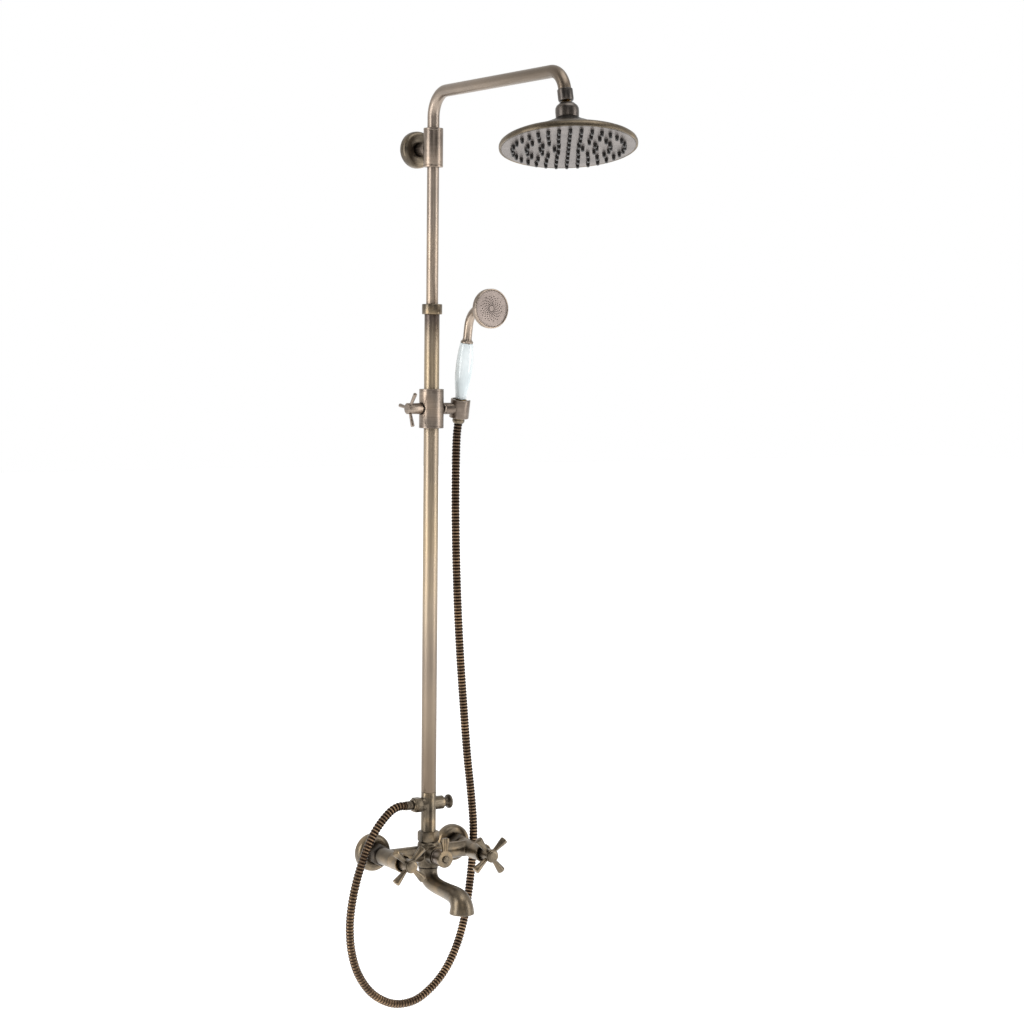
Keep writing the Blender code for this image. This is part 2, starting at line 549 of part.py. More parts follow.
def holder_cup():
    """The cup with its own boss on the pivot, and a slot that lets the hose in from the side."""
    half = CUP_HEIGHT / 2.0
    edge = 0.0006
    outline = [(0.0, half), (CUP_R - edge, half), (CUP_R, half - edge), (CUP_R, edge - half),
               (CUP_R - edge, -half), (0.0, -half)]
    cup = turned("holder_cup", outline, cup_frame(), "aged brass", MEDIUM)
    pivot = place(0.0, -COLUMN_OUT, SLIDER_Z, RIGHT)
    boss_back = SLIDER_R + 2 * FIT + PIVOT_COLLAR
    boss_front = CUP_X - CUP_BORE_LOW_R * 0.7
    pin_end = SLIDER_R + FIT + PIVOT_COLLAR + PIVOT_PIN + FIT
    boss = [(0.0, boss_front), (PIVOT_R, boss_front), (PIVOT_R, boss_back), (SCREW_R + FIT, boss_back),
            (SCREW_R + FIT, pin_end), (0.0, pin_end)]
    combine(cup, cutter(turned, "cup boss", boss, pivot, facets=MEDIUM), "UNION")
    taper = (CUP_BORE_TOP_R - CUP_BORE_LOW_R) / CUP_HEIGHT
    over = 0.004
    bore = [(0.0, half + over), (CUP_BORE_TOP_R + taper * over, half + over),
            (CUP_BORE_LOW_R - taper * over, -half - over), (0.0, -half - over)]
    hollow = cutter(turned, "cup bore", bore, cup_frame(), facets=MEDIUM)
    bm = bmesh.new()
    size = Matrix.Diagonal((CUP_R, CUP_SLOT, CUP_HEIGHT * 1.5, 1.0))
    bmesh.ops.create_cube(bm, size=1.0, matrix=Matrix.Translation((CUP_R * 0.8, 0.0, 0.0)) @ size)
    mesh = bpy.data.meshes.new("cup slot")
    bm.to_mesh(mesh)
    bm.free()
    slot = add_object("cup slot", mesh, cup_frame(), "aged brass", CUTTERS)
    slot.hide_render = True
    slot.display_type = "WIRE"
    combine(hollow, slot, "UNION")
    combine(cup, hollow, "DIFFERENCE")


# ---- handset ----

def handset_grip():
    frame = cup_frame()
    cone = [(CONE_TOP_R - 0.0006, CONE_TOP), (CONE_TOP_R, CONE_TOP - 0.0008), (CONE_LOW_R, CONE_LOW),
            (TAIL_BORE_R, CONE_LOW), (TAIL_BORE_R, CONE_TOP - CONE_THREAD - FIT),
            (TAIL_R + THREAD_FIT, CONE_TOP - CONE_THREAD - FIT), (TAIL_R + THREAD_FIT, CONE_TOP)]
    turned("hose_cone_nut", cone, frame, "aged brass", MEDIUM, True)
    flange_low = CONE_TOP + FIT
    flange_top = flange_low + TAIL_FLANGE_UP
    tube_top = HANDLE_HIGH + NECK_COLLAR + 0.0060
    tail = [(TAIL_TUBE_R, tube_top), (TAIL_TUBE_R, flange_top), (HANDLE_RADII[0], flange_top),
            (HANDLE_RADII[0], flange_low), (TAIL_R, flange_low), (TAIL_R, CONE_TOP - CONE_THREAD),
            (TAIL_BORE_R, CONE_TOP - CONE_THREAD), (TAIL_BORE_R, tube_top)]
    turned("handset_tail", tail, frame, "raw brass", COARSE, True)
    low = flange_top + FIT
    count = len(HANDLE_RADII) - 1
    outline = [(radius, low + (HANDLE_HIGH - low) * n / count) for n, radius in enumerate(HANDLE_RADII)]
    bore = TAIL_TUBE_R + FIT
    turned("handset_handle", outline[::-1] + [(bore, low), (bore, HANDLE_HIGH)], frame,
           "glazed porcelain", MEDIUM, True)


def neck_path():
    """From the top of the handle up, then forward on an arc until it points straight at the room."""
    frame = cup_frame()
    low = frame @ Vector((0.0, 0.0, HANDLE_HIGH + FIT))
    high = frame @ Vector((0.0, 0.0, HANDLE_HIGH + NECK_STRAIGHT))
    lean = math.radians(CUP_LEAN_DEG)
    centre = (high.y - NECK_BEND_R * math.cos(lean), high.z - NECK_BEND_R * math.sin(lean))
    bend = [point + Vector((CUP_X, 0.0, 0.0)) for point in arc(centre, NECK_BEND_R, CUP_LEAN_DEG, 90.0, 5)]
    bend.append(bend[-1] + Vector((0.0, -NECK_TIP_STRAIGHT, 0.0)))
    return low, bend


def handset_head():
    low, bend = neck_path()
    frame = cup_frame()
    points = [low] + bend
    neck = bent_bar("handset_neck", points, [NECK_R] * len(points), Matrix.Identity(4), "aged brass", 12)
    base = HANDLE_HIGH + FIT
    collar = [(0.0, base + NECK_COLLAR + 0.0030), (NECK_R, base + NECK_COLLAR + 0.0030),
              (NECK_COLLAR_R, base + NECK_COLLAR * 0.5), (NECK_COLLAR_R, base), (0.0, base)]
    combine(neck, cutter(turned, "neck collar", collar, frame, facets=MEDIUM), "UNION")
    way = (points[0] - points[1]).normalized() * 0.004
    past = Vector((0.0, -0.004, 0.0))
    bore_points = [low + way] + bend + [bend[-1] + past]
    combine(neck, cutter(bent_bar, "neck bore", bore_points, [NECK_BORE_R] * len(bore_points),
                         Matrix.Identity(4), sides=8), "DIFFERENCE")
    back = -bend[-1].y + FIT
    axis = place(CUP_X, 0.0, bend[-1].z, OUT)
    front = back + HANDSET_BELL
    rim_back = front - HANDSET_RIM
    wall = HANDSET_WALL
    bell = [(HANDSET_R - 0.0010, front), (HANDSET_R, front - 0.0014), (HANDSET_R, rim_back),
            (0.0240, rim_back - 0.0052),
            (0.0165, rim_back - 0.0098), (0.0105, rim_back - 0.0160), (NECK_R, back)]
    hollow = [(NECK_BORE_R, back), (0.0085, rim_back - 0.0160), (0.0150, rim_back - 0.0098 + wall),
              (0.0230, rim_back - 0.0052 + wall), (HANDSET_FACE_R, rim_back + 0.0020),
              (HANDSET_FACE_R, front)]
    turned("handset_shell", bell + hollow, axis, "aged brass", FINE, True)
    plate_front = front - HANDSET_FACE_INSET
    rod("handset_face", HANDSET_FACE_R - FIT, plate_front - HANDSET_PLATE, plate_front, axis,
        "aged brass", FINE)


# ---- tee and diverter ----

def tee():
    top = RISER_BOTTOM - FIT
    spigot_r = RISER_R - RISER_WALL - FIT
    profile = [(spigot_r, top + TEE_SPIGOT), (spigot_r, top), (RISER_R, top),
               (RISER_R, TEE_BOTTOM + TAIL_FLANGE), (TAIL_FLANGE_R, TEE_BOTTOM + TAIL_FLANGE),
               (TAIL_FLANGE_R, TEE_BOTTOM), (0.0, TEE_BOTTOM), (0.0, top + TEE_SPIGOT)]
    body = turned("tee_body", [profile[-1]] + profile[:-1], COLUMN, "aged brass", MEDIUM)
    to_left = place(y=-COLUMN_OUT, z=BRANCH_Z, turn=LEFT)
    to_right = place(y=-COLUMN_OUT, z=BRANCH_Z, turn=RIGHT)
    outlet = [(0.0, OUTLET_REACH), (OUTLET_R, OUTLET_REACH), (OUTLET_R, BRANCH_REACH),
              (BRANCH_R, BRANCH_REACH), (BRANCH_R, 0.0), (0.0, 0.0)]
    combine(body, cutter(turned, "tee outlet", outlet, to_left, facets=MEDIUM), "UNION")
    combine(body, cutter(rod, "tee boss", BRANCH_R, 0.0, DIVERTER_BOSS_REACH, to_right,
                         facets=MEDIUM), "UNION")
    combine(body, cutter(rod, "tee bore", TEE_BORE_R, TEE_BOTTOM - 0.01, top + TEE_SPIGOT + 0.01,
                         COLUMN, facets=COARSE), "DIFFERENCE")
    combine(body, cutter(rod, "outlet bore", OUTLET_BORE_R, 0.0, OUTLET_REACH + 0.01, to_left,
                         facets=COARSE), "DIFFERENCE")
    combine(body, cutter(rod, "spindle bore", DIVERTER_SPINDLE_R + FIT, 0.0,
                         DIVERTER_BOSS_REACH + 0.01, to_right, facets=12), "DIFFERENCE")
    back = DIVERTER_BOSS_REACH + FIT
    front = back + DIVERTER_KNOB_LENGTH
    socket = back + 0.0070
    knob = [(0.0, front), (DIVERTER_KNOB_R - 0.0008, front), (DIVERTER_KNOB_R, front - 0.0010),
            (DIVERTER_KNOB_R, front - 0.0036), (DIVERTER_NECK_R + 0.0010, front - 0.0062),
            (DIVERTER_NECK_R, front - 0.0085), (DIVERTER_NECK_R, back), (DIVERTER_SPINDLE_R + FIT, back),
            (DIVERTER_SPINDLE_R + FIT, socket), (0.0, socket)]
    turned("diverter_knob", knob, to_right, "aged brass", MEDIUM)
    valve_r = TEE_BORE_R - 0.0020
    spindle = [(0.0, socket - FIT), (DIVERTER_SPINDLE_R, socket - FIT), (DIVERTER_SPINDLE_R, -0.0020),
               (valve_r, -0.0020), (valve_r, -0.0045), (0.0, -0.0045)]
    turned("diverter_spindle", spindle, to_right, "raw brass", 12)


def column_union():
    lip_low = UNION_BOTTOM + UNION_HEIGHT - UNION_LIP
    nut = hexagon("column_union_nut", UNION_ACROSS_FLATS, UNION_BOTTOM, UNION_BOTTOM + UNION_HEIGHT,
                  COLUMN)
    combine(nut, cutter(rod, "union thread", TAIL_FLANGE_R + THREAD_FIT, UNION_BOTTOM - 0.002, lip_low,
                        COLUMN, facets=MEDIUM), "DIFFERENCE")
    combine(nut, cutter(rod, "union lip", RISER_R + FIT, lip_low - 0.001,
                        UNION_BOTTOM + UNION_HEIGHT + 0.002, COLUMN, facets=MEDIUM), "DIFFERENCE")
    low = SPIGOT_TOP + FIT
    sleeve("column_union_washer", TAIL_FLANGE_R - 0.0004, TEE_BORE_R + 0.0005, low,
           TEE_BOTTOM - FIT, COLUMN, "rubber")


# ---- hose and its ends ----

HOSE_ROUTE = (
    # from the tee's outlet to the left, down past the left inlet, round the loop and up to the holder
    (-0.0433, -0.0535, 0.0800), (-0.0560, -0.0535, 0.0800), (-0.0695, -0.0538, 0.0745),
    (-0.0840, -0.0545, 0.0625), (-0.0975, -0.0550, 0.0470), (-0.1100, -0.0555, 0.0270),
    (-0.1220, -0.0558, 0.0000), (-0.1330, -0.0558, -0.0320), (-0.1410, -0.0555, -0.0680),
    (-0.1440, -0.0550, -0.1050), (-0.1400, -0.0545, -0.1440), (-0.1270, -0.0540, -0.1820),
    (-0.1010, -0.0535, -0.2160), (-0.0640, -0.0530, -0.2370), (-0.0250, -0.0520, -0.2385),
    (0.0080, -0.0505, -0.2230), (0.0370, -0.0475, -0.1980), (0.0610, -0.0425, -0.1640),
    (0.0790, -0.0370, -0.1230), (0.0915, -0.0325, -0.0720), (0.0990, -0.0300, -0.0180),
    (0.1010, -0.0290, 0.0280), (0.0960, -0.0285, 0.0850), (0.0880, -0.0290, 0.1460),
    (0.0795, -0.0305, 0.2250), (0.0712, -0.0325, 0.3050), (0.0645, -0.0345, 0.3840),
    (0.0595, -0.0365, 0.4620), (0.0555, -0.0390, 0.5500), (0.0533, -0.0425, 0.6250),
)


def hose_ends():
    """The hose starts on the ferrule's end and finishes under the conical nut."""
    return (Vector((-FERRULE_END - FIT, -COLUMN_OUT, BRANCH_Z)),
            cup_frame() @ Vector((0.0, 0.0, CONE_LOW - FIT)))


def smooth_route(points, step):
    """Points about a step apart along one smooth curve through the given ones."""
    knots = [2 * points[0] - points[1]] + points + [2 * points[-1] - points[-2]]
    route = []
    for a, b, c, d in zip(knots, knots[1:], knots[2:], knots[3:]):
        count = max(1, round((c - b).length / step))
        for n in range(count):
            t = n / count
            route.append(0.5 * (2 * b + (c - a) * t + (2 * a - 5 * b + 4 * c - d) * t * t
                                + (3 * b - a - 3 * c + d) * t * t * t))
    route.append(points[-1])
    return route


def hose():
    start, end = hose_ends()
    lean = (cup_frame().to_3x3() @ Vector((0.0, 0.0, -1.0))) * 0.022
    points = [start] + [Vector(point) for point in HOSE_ROUTE[1:]] + [end + lean, end]
    route = smooth_route(points, HOSE_STEP)
    bent_bar("shower_hose", route, [HOSE_R] * len(route), Matrix.Identity(4), "dark bronze", 8)
    frame = place(y=-COLUMN_OUT, z=BRANCH_Z, turn=LEFT)
    low = BRANCH_REACH + FIT
    high = low + HOSE_NUT_LENGTH
    lip = high - HOSE_NUT_LIP
    nut = hexagon("hose_hex_nut", HOSE_NUT_FLATS, low, high, frame)
    combine(nut, cutter(rod, "hose thread", OUTLET_R + THREAD_FIT, low - 0.002, lip, frame,
                        facets=MEDIUM), "DIFFERENCE")
    combine(nut, cutter(rod, "hose lip", FERRULE_TUBE_R + FIT, lip - 0.001, high + 0.002, frame,
                        facets=MEDIUM), "DIFFERENCE")
    flange_low = OUTLET_REACH + FIT
    ferrule = [(FERRULE_TUBE_R, FERRULE_END), (FERRULE_TUBE_R, flange_low + FERRULE_FLANGE),
               (FERRULE_FLANGE_R, flange_low + FERRULE_FLANGE), (FERRULE_FLANGE_R, flange_low),
               (0.0045, flange_low), (0.0045, FERRULE_END)]
    turned("hose_ferrule", ferrule, frame, "dark bronze", COARSE, True)


# ---- mixer body ----

def mixer_body():
    """Crosswise tube, two valve barrels, middle core, selector boss, and all waterways cut through."""
    half = INLET_SPACING / 2.0
    crown = 0.0050
    core = [(0.0, SPIGOT_TOP), (SPIGOT_R, SPIGOT_TOP), (SPIGOT_R, CORE_TOP), (CORE_R - crown, CORE_TOP),
            (CORE_R - 0.0015, CORE_TOP - 0.0020), (CORE_R, CORE_TOP - crown),
            (CORE_R, CORE_LOW + 0.0040), (CORE_R - 0.0020, CORE_LOW), (0.0, CORE_LOW)]
    body = turned("mixer_body", core, COLUMN, "aged brass", MEDIUM)
    across = place(y=-COLUMN_OUT, turn=RIGHT)
    combine(body, cutter(rod, "body tube", BODY_TUBE_R, -half, half, across, facets=MEDIUM), "UNION")
    front = place(z=SELECTOR_Z, turn=OUT)
    boss = [(0.0, SELECTOR_BOSS_FRONT), (SELECTOR_BOSS_R, SELECTOR_BOSS_FRONT),
            (SELECTOR_BOSS_R, SELECTOR_BOSS_FRONT - 0.0030),
            (SELECTOR_BOSS_R - 0.0010, SELECTOR_BOSS_FRONT - 0.0040),
            (SELECTOR_BOSS_R - 0.0010, COLUMN_OUT), (0.0, COLUMN_OUT)]
    combine(body, cutter(turned, "selector boss", boss, front, facets=MEDIUM), "UNION")
    for side, x in SIDES.items():
        frame = place(x=x, turn=OUT)
        tail_front = INLET_TAIL_BACK + TAIL_FLANGE
        barrel = [(0.0, BARREL_FRONT), (BARREL_R, BARREL_FRONT), (BARREL_R, BARREL_BACK),
                  (INLET_TAIL_R, BARREL_BACK), (INLET_TAIL_R, tail_front),
                  (ECCENTRIC_THREAD_R, tail_front), (ECCENTRIC_THREAD_R, INLET_TAIL_BACK),
                  (0.0, INLET_TAIL_BACK)]
        combine(body, cutter(turned, f"barrel {side}", barrel, frame, facets=MEDIUM), "UNION")
    down = [(0.0, SPIGOT_TOP + 0.01), (CORE_BORE_R, SPIGOT_TOP + 0.01), (CORE_BORE_R, 0.0),
            (SPOUT_SPIGOT_R + FIT, 0.0), (SPOUT_SPIGOT_R + FIT, CORE_LOW - 0.01),
            (0.0, CORE_LOW - 0.01)]
    waterway = cutter(turned, "waterway", down, COLUMN, facets=MEDIUM)
    combine(waterway, cutter(rod, "cross bore", BODY_BORE_R, -half, half, across, facets=COARSE), "UNION")
    combine(waterway, cutter(rod, "selector bore", SELECTOR_BORE_R, COLUMN_OUT + CORE_BORE_R * 0.5,
                             SELECTOR_BOSS_FRONT + 0.01, front, facets=MEDIUM), "UNION")
    for side, x in SIDES.items():
        frame = place(x=x, turn=OUT)
        bore = [(0.0, BARREL_FRONT + 0.01), (BARREL_BORE_R, BARREL_FRONT + 0.01),
                (BARREL_BORE_R, BARREL_BACK + 0.0060), (0.0070, BARREL_BACK + 0.0060),
                (0.0070, INLET_TAIL_BACK - 0.01), (0.0, INLET_TAIL_BACK - 0.01)]
        combine(waterway, cutter(turned, f"barrel bore {side}", bore, frame, facets=MEDIUM), "UNION")
    combine(body, waterway, "DIFFERENCE")


SIDES = {"left": -INLET_SPACING / 2.0, "right": INLET_SPACING / 2.0}


def wall_inlet(side, x):
    frame = place(x=x, turn=OUT)
    hole = ECCENTRIC_THREAD_R + FIT
    wall = ESCUTCHEON_WALL
    crown = ESCUTCHEON_R * 0.84
    outer = [(hole, ESCUTCHEON_DEPTH), (crown, ESCUTCHEON_DEPTH - 0.0003),
             (ESCUTCHEON_R * 0.95, ESCUTCHEON_DEPTH - 0.0030), (ESCUTCHEON_R, ESCUTCHEON_DEPTH - 0.0075),
             (ESCUTCHEON_R, 0.0)]
    inner = [(ESCUTCHEON_R - wall, 0.0), (ESCUTCHEON_R - wall, ESCUTCHEON_DEPTH - 0.0080),
             (crown, ESCUTCHEON_DEPTH - 0.0010 - wall), (hole, ESCUTCHEON_DEPTH - wall)]
    turned(f"escutcheon_{side}", outer + inner, frame, "aged brass", FINE, True)
    union = [(ECCENTRIC_THREAD_R, ECCENTRIC_FRONT), (ECCENTRIC_THREAD_R, ECCENTRIC_SHOULDER),
             (ECCENTRIC_R, ECCENTRIC_SHOULDER), (ECCENTRIC_R, FIT), (0.0070, FIT),
             (0.0070, ECCENTRIC_FRONT)]
    turned(f"eccentric_union_{side}", union, frame, "raw brass", MEDIUM, True)
    front = BARREL_BACK - FIT
    lip = front - INLET_NUT_LIP
    nut = hexagon(f"union_nut_{side}", INLET_NUT_FLATS, INLET_NUT_BACK, front, frame, "dark bronze")
    combine(nut, cutter(rod, f"union thread {side}", ECCENTRIC_THREAD_R + THREAD_FIT,
                        INLET_NUT_BACK - 0.002, lip, frame, facets=MEDIUM), "DIFFERENCE")
    combine(nut, cutter(rod, f"union lip {side}", INLET_TAIL_R + FIT, lip - 0.001, front + 0.002,
                        frame, facets=MEDIUM), "DIFFERENCE")


def valve(side, x):
    frame = place(x=x, turn=OUT)
    inside = BARREL_BORE_R - THREAD_FIT
    seat = BARREL_FRONT + FIT
    headwork = [(HEADWORK_NECK_R, HEADWORK_FRONT), (HEADWORK_NECK_R, seat + HEADWORK_FLANGE),
                (SHROUD_BORE_R - FIT, seat + HEADWORK_FLANGE), (SHROUD_BORE_R - FIT, seat),
                (inside, seat), (inside, HEADWORK_BACK), (SPINDLE_R + FIT, HEADWORK_BACK),
                (SPINDLE_R + FIT, HEADWORK_FRONT)]
    turned(f"valve_headwork_{side}", headwork, frame, "raw brass", MEDIUM, True)
    shroud = [(SHROUD_R + 0.0006, SHROUD_FRONT), (SHROUD_R + 0.0006, SHROUD_FRONT - 0.0025),
              (SHROUD_R, SHROUD_FRONT - 0.0032), (SHROUD_R, seat), (SHROUD_BORE_R, seat),
              (SHROUD_BORE_R, SHROUD_FRONT)]
    turned(f"valve_shroud_{side}", shroud, frame, "aged brass", MEDIUM, True)
    rod(f"valve_spindle_{side}", SPINDLE_R, SPINDLE_BACK, SPINDLE_FRONT, frame, "raw brass", 12)


def cross_handle(side, x):
    frame = place(x=x, turn=OUT)
    ring_back = HUB_FRONT - HUB_RING
    socket = SPINDLE_FRONT + FIT
    hub = [(0.0, HUB_FRONT), (HUB_RING_R - 0.0006, HUB_FRONT), (HUB_RING_R, HUB_FRONT - 0.0008),
           (HUB_RING_R, ring_back), (HUB_R, ring_back - 0.0008), (HUB_R, HUB_BACK + 0.0030),
           (HUB_R - 0.0012, HUB_BACK), (SPINDLE_R + FIT, HUB_BACK), (SPINDLE_R + FIT, socket),
           (0.0, socket)]
    handle = turned(f"cross_handle_{side}", hub, frame, "aged brass", MEDIUM)
    for n in range(4):
        angle = math.radians(HANDLE_REST_DEG[side] + 90.0 * n)
        way = Vector((math.cos(angle), 0.0, math.sin(angle)))
        turn = way.to_track_quat("Z", "Y").to_matrix().to_4x4()
        spoke = [(0.0, SPOKE_REACH), (SPOKE_TIP_R - 0.0012, SPOKE_REACH),
                 (SPOKE_TIP_R, SPOKE_REACH - 0.0012), (SPOKE_ROOT_R, HUB_R * 0.6), (0.0, HUB_R * 0.6)]
        combine(handle, cutter(turned, f"spoke {side} {n + 1}", spoke, place(x, -SPOKE_OUT, 0.0, turn),
                               facets=8), "UNION")
    cap = [(0.0, CAP_FRONT), (CAP_R * 0.6, CAP_FRONT - 0.0003), (CAP_R, CAP_FRONT - 0.0014),
           (CAP_R, HUB_FRONT + FIT), (0.0, HUB_FRONT + FIT)]
    turned(f"handle_cap_{side}", cap, frame, "aged brass", MEDIUM)


# ---- selector ----

def selector():
    frame = place(z=SELECTOR_Z, turn=OUT)
    back = SELECTOR_BOSS_FRONT + FIT
    plug = SELECTOR_BORE_R - THREAD_FIT
    hole = SPINDLE_R + FIT
    bonnet = [(BONNET_R, BONNET_FRONT), (BONNET_R, back), (plug, back), (plug, back - 0.0080),
              (hole, back - 0.0080), (hole, BONNET_FRONT)]
    turned("selector_bonnet", bonnet, frame, "aged brass", MEDIUM, True)
    rod("selector_spindle", SPINDLE_R, SELECTOR_SPINDLE_BACK, SELECTOR_SPINDLE_FRONT, frame,
        "raw brass", 12)
    hub_back = BONNET_FRONT + FIT
    recess = BUTTON_BACK - 0.0002
    hub = [(BUTTON_R + 0.0014, LEVER_HUB_FRONT), (LEVER_HUB_R - 0.0006, LEVER_HUB_FRONT),
           (LEVER_HUB_R, LEVER_HUB_FRONT - 0.0008), (LEVER_HUB_R, hub_back), (hole, hub_back),
           (hole, recess), (BUTTON_R + 0.0014, recess)]
    lever = turned("selector_lever", hub, frame, "aged brass", MEDIUM, True)
    combine(lever, lever_paddle(frame), "UNION")
    button = [(0.0, BUTTON_FRONT), (BUTTON_R - 0.0008, BUTTON_FRONT), (BUTTON_R, BUTTON_FRONT - 0.0010),
              (BUTTON_R, BUTTON_BACK), (0.0, BUTTON_BACK)]
    turned("selector_screw", button, frame, "aged brass", COARSE)


def lever_paddle(frame):
    """A flat paddle with a waist and a wide round tip, standing up from the hub."""
    root, waist = LEVER_HUB_R - 0.0046, LEVER_REACH / 2.0
    shoulder, brow = LEVER_REACH - 0.0050, LEVER_REACH - 0.0012
    outline = [(-LEVER_ROOT_W / 2, root), (-LEVER_WAIST_W / 2, waist), (-LEVER_TIP_W / 2, shoulder),
               (-LEVER_TIP_W * 0.34, brow), (0.0, LEVER_REACH), (LEVER_TIP_W * 0.34, brow),
               (LEVER_TIP_W / 2, shoulder), (LEVER_WAIST_W / 2, waist), (LEVER_ROOT_W / 2, root)]
    curve = bpy.data.curves.new("lever paddle", "CURVE")
    curve.dimensions = "2D"
    curve.fill_mode = "BOTH"
    curve.extrude = LEVER_THICK / 2.0
    spline = curve.splines.new("POLY")
    spline.points.add(len(outline) - 1)
    spline.use_cyclic_u = True
    for knot, (x, y) in zip(spline.points, outline):
        knot.co = (x, y, 0.0, 1.0)
    flat = bpy.data.objects.new("lever paddle", curve)
    bpy.context.scene.collection.objects.link(flat)
    depsgraph = bpy.context.evaluated_depsgraph_get()
    mesh = bpy.data.meshes.new_from_object(flat.evaluated_get(depsgraph))
    bpy.data.objects.remove(flat, do_unlink=True)
    bm = bmesh.new()
    bm.from_mesh(mesh)
    bmesh.ops.remove_doubles(bm, verts=bm.verts, dist=0.000005)
    bmesh.ops.recalc_face_normals(bm, faces=bm.faces)
    bm.to_mesh(mesh)
    bm.free()
    middle = LEVER_HUB_FRONT - LEVER_THICK / 2.0 - FIT
    paddle = add_object("lever paddle", mesh, frame @ Matrix.Translation((0.0, 0.0, middle)),
                        "aged brass", CUTTERS)
    paddle.hide_render = True
    paddle.display_type = "WIRE"
    return paddle


# ---- spout ----

def spout_path(top):
    """Down from the body, forward with a gentle fall, into the nozzle."""
    reach = SPOUT_OUT
    return [Vector((0.0, -COLUMN_OUT, top)), Vector((0.0, -COLUMN_OUT, SPOUT_TOP - 0.0060)),
            Vector((0.0, -COLUMN_OUT - 0.0015, SPOUT_TOP - 0.0130)),
            Vector((0.0, -COLUMN_OUT - 0.0070, SPOUT_TOP - 0.0195)),
            Vector((0.0, -COLUMN_OUT - 0.0170, SPOUT_TOP - 0.0240)),
            Vector((0.0, -COLUMN_OUT - 0.0350, SPOUT_TOP - 0.0270)),
            Vector((0.0, -reach + 0.0350, SPOUT_TOP - 0.0295)),
            Vector((0.0, -reach + 0.0130, SPOUT_TOP - 0.0330))]


def spout():
    path = spout_path(SPOUT_TOP)
    radii = [SPOUT_NECK_R, SPOUT_NECK_R, SPOUT_NECK_R - 0.0003, SPOUT_NECK_R - 0.0010,
             SPOUT_ARM_R + 0.0012, SPOUT_ARM_R, SPOUT_ARM_R + 0.0012, SPOUT_ARM_R + 0.0032]
    body = bent_bar("spout", path, radii, Matrix.Identity(4), "aged brass", 14)
    nozzle_axis = place(y=-SPOUT_OUT)
    nozzle = [(0.0, NOZZLE_TOP), (NOZZLE_R * 0.45, NOZZLE_TOP - 0.0012),
              (NOZZLE_R * 0.78, NOZZLE_TOP - 0.0060), (NOZZLE_R * 0.93, NOZZLE_TOP - 0.0140),
              (NOZZLE_R * 0.97, NOZZLE_TOP - 0.0260), (NOZZLE_R, NOZZLE_LOW + 0.0010),
              (NOZZLE_R - 0.0008, NOZZLE_LOW), (0.0, NOZZLE_LOW)]
    combine(body, cutter(turned, "nozzle", nozzle, nozzle_axis, facets=MEDIUM), "UNION")
    spigot_top = SPOUT_TOP + SPOUT_SPIGOT
    combine(body, cutter(rod, "spout spigot", SPOUT_SPIGOT_R, SPOUT_TOP - 0.003, spigot_top, COLUMN,
                         facets=MEDIUM), "UNION")
    waterway = spout_path(spigot_top + 0.004)
    bore = [SPOUT_SPIGOT_BORE_R] * 2 + [SPOUT_BORE_R] * (len(waterway) - 2)
    combine(body, cutter(bent_bar, "spout waterway", waterway, bore, Matrix.Identity(4), sides=8),
            "DIFFERENCE")
    cavity = AERATOR_R + THREAD_FIT
    chamber = SPOUT_BORE_R + 0.0030
    ledge = NOZZLE_LOW + AERATOR_DEPTH + FIT
    mouth = [(0.0, ledge + 0.0197), (chamber, ledge + 0.0177), (chamber, ledge), (cavity, ledge),
             (cavity, NOZZLE_LOW - 0.005), (0.0, NOZZLE_LOW - 0.005)]
    combine(body, cutter(turned, "nozzle mouth", mouth, nozzle_axis, facets=MEDIUM), "DIFFERENCE")
    sleeve("aerator", AERATOR_R, AERATOR_R - 0.0045, NOZZLE_LOW + 0.0010, NOZZLE_LOW + AERATOR_DEPTH,
           nozzle_axis, "acetal", MEDIUM)


# ---- the whole column ----

clear_scene()
PARTS = new_collection("rainfall shower column")
CUTTERS = new_collection("cutters")
wall_bracket()
riser()
gooseneck()
rain_head()
slider()
holder_cup()
handset_grip()
handset_head()
tee()
column_union()
hose()
mixer_body()
for side_name, side_x in SIDES.items():
    wall_inlet(side_name, side_x)
    valve(side_name, side_x)
    cross_handle(side_name, side_x)
selector()
spout()
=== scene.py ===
"""The looks of a wall-hung bath and shower column: aged brass fittings, a porcelain handle, black
silicone nozzles and an interlocked metal hose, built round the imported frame."""
import json
import math

import bpy
from mathutils import Matrix, Vector


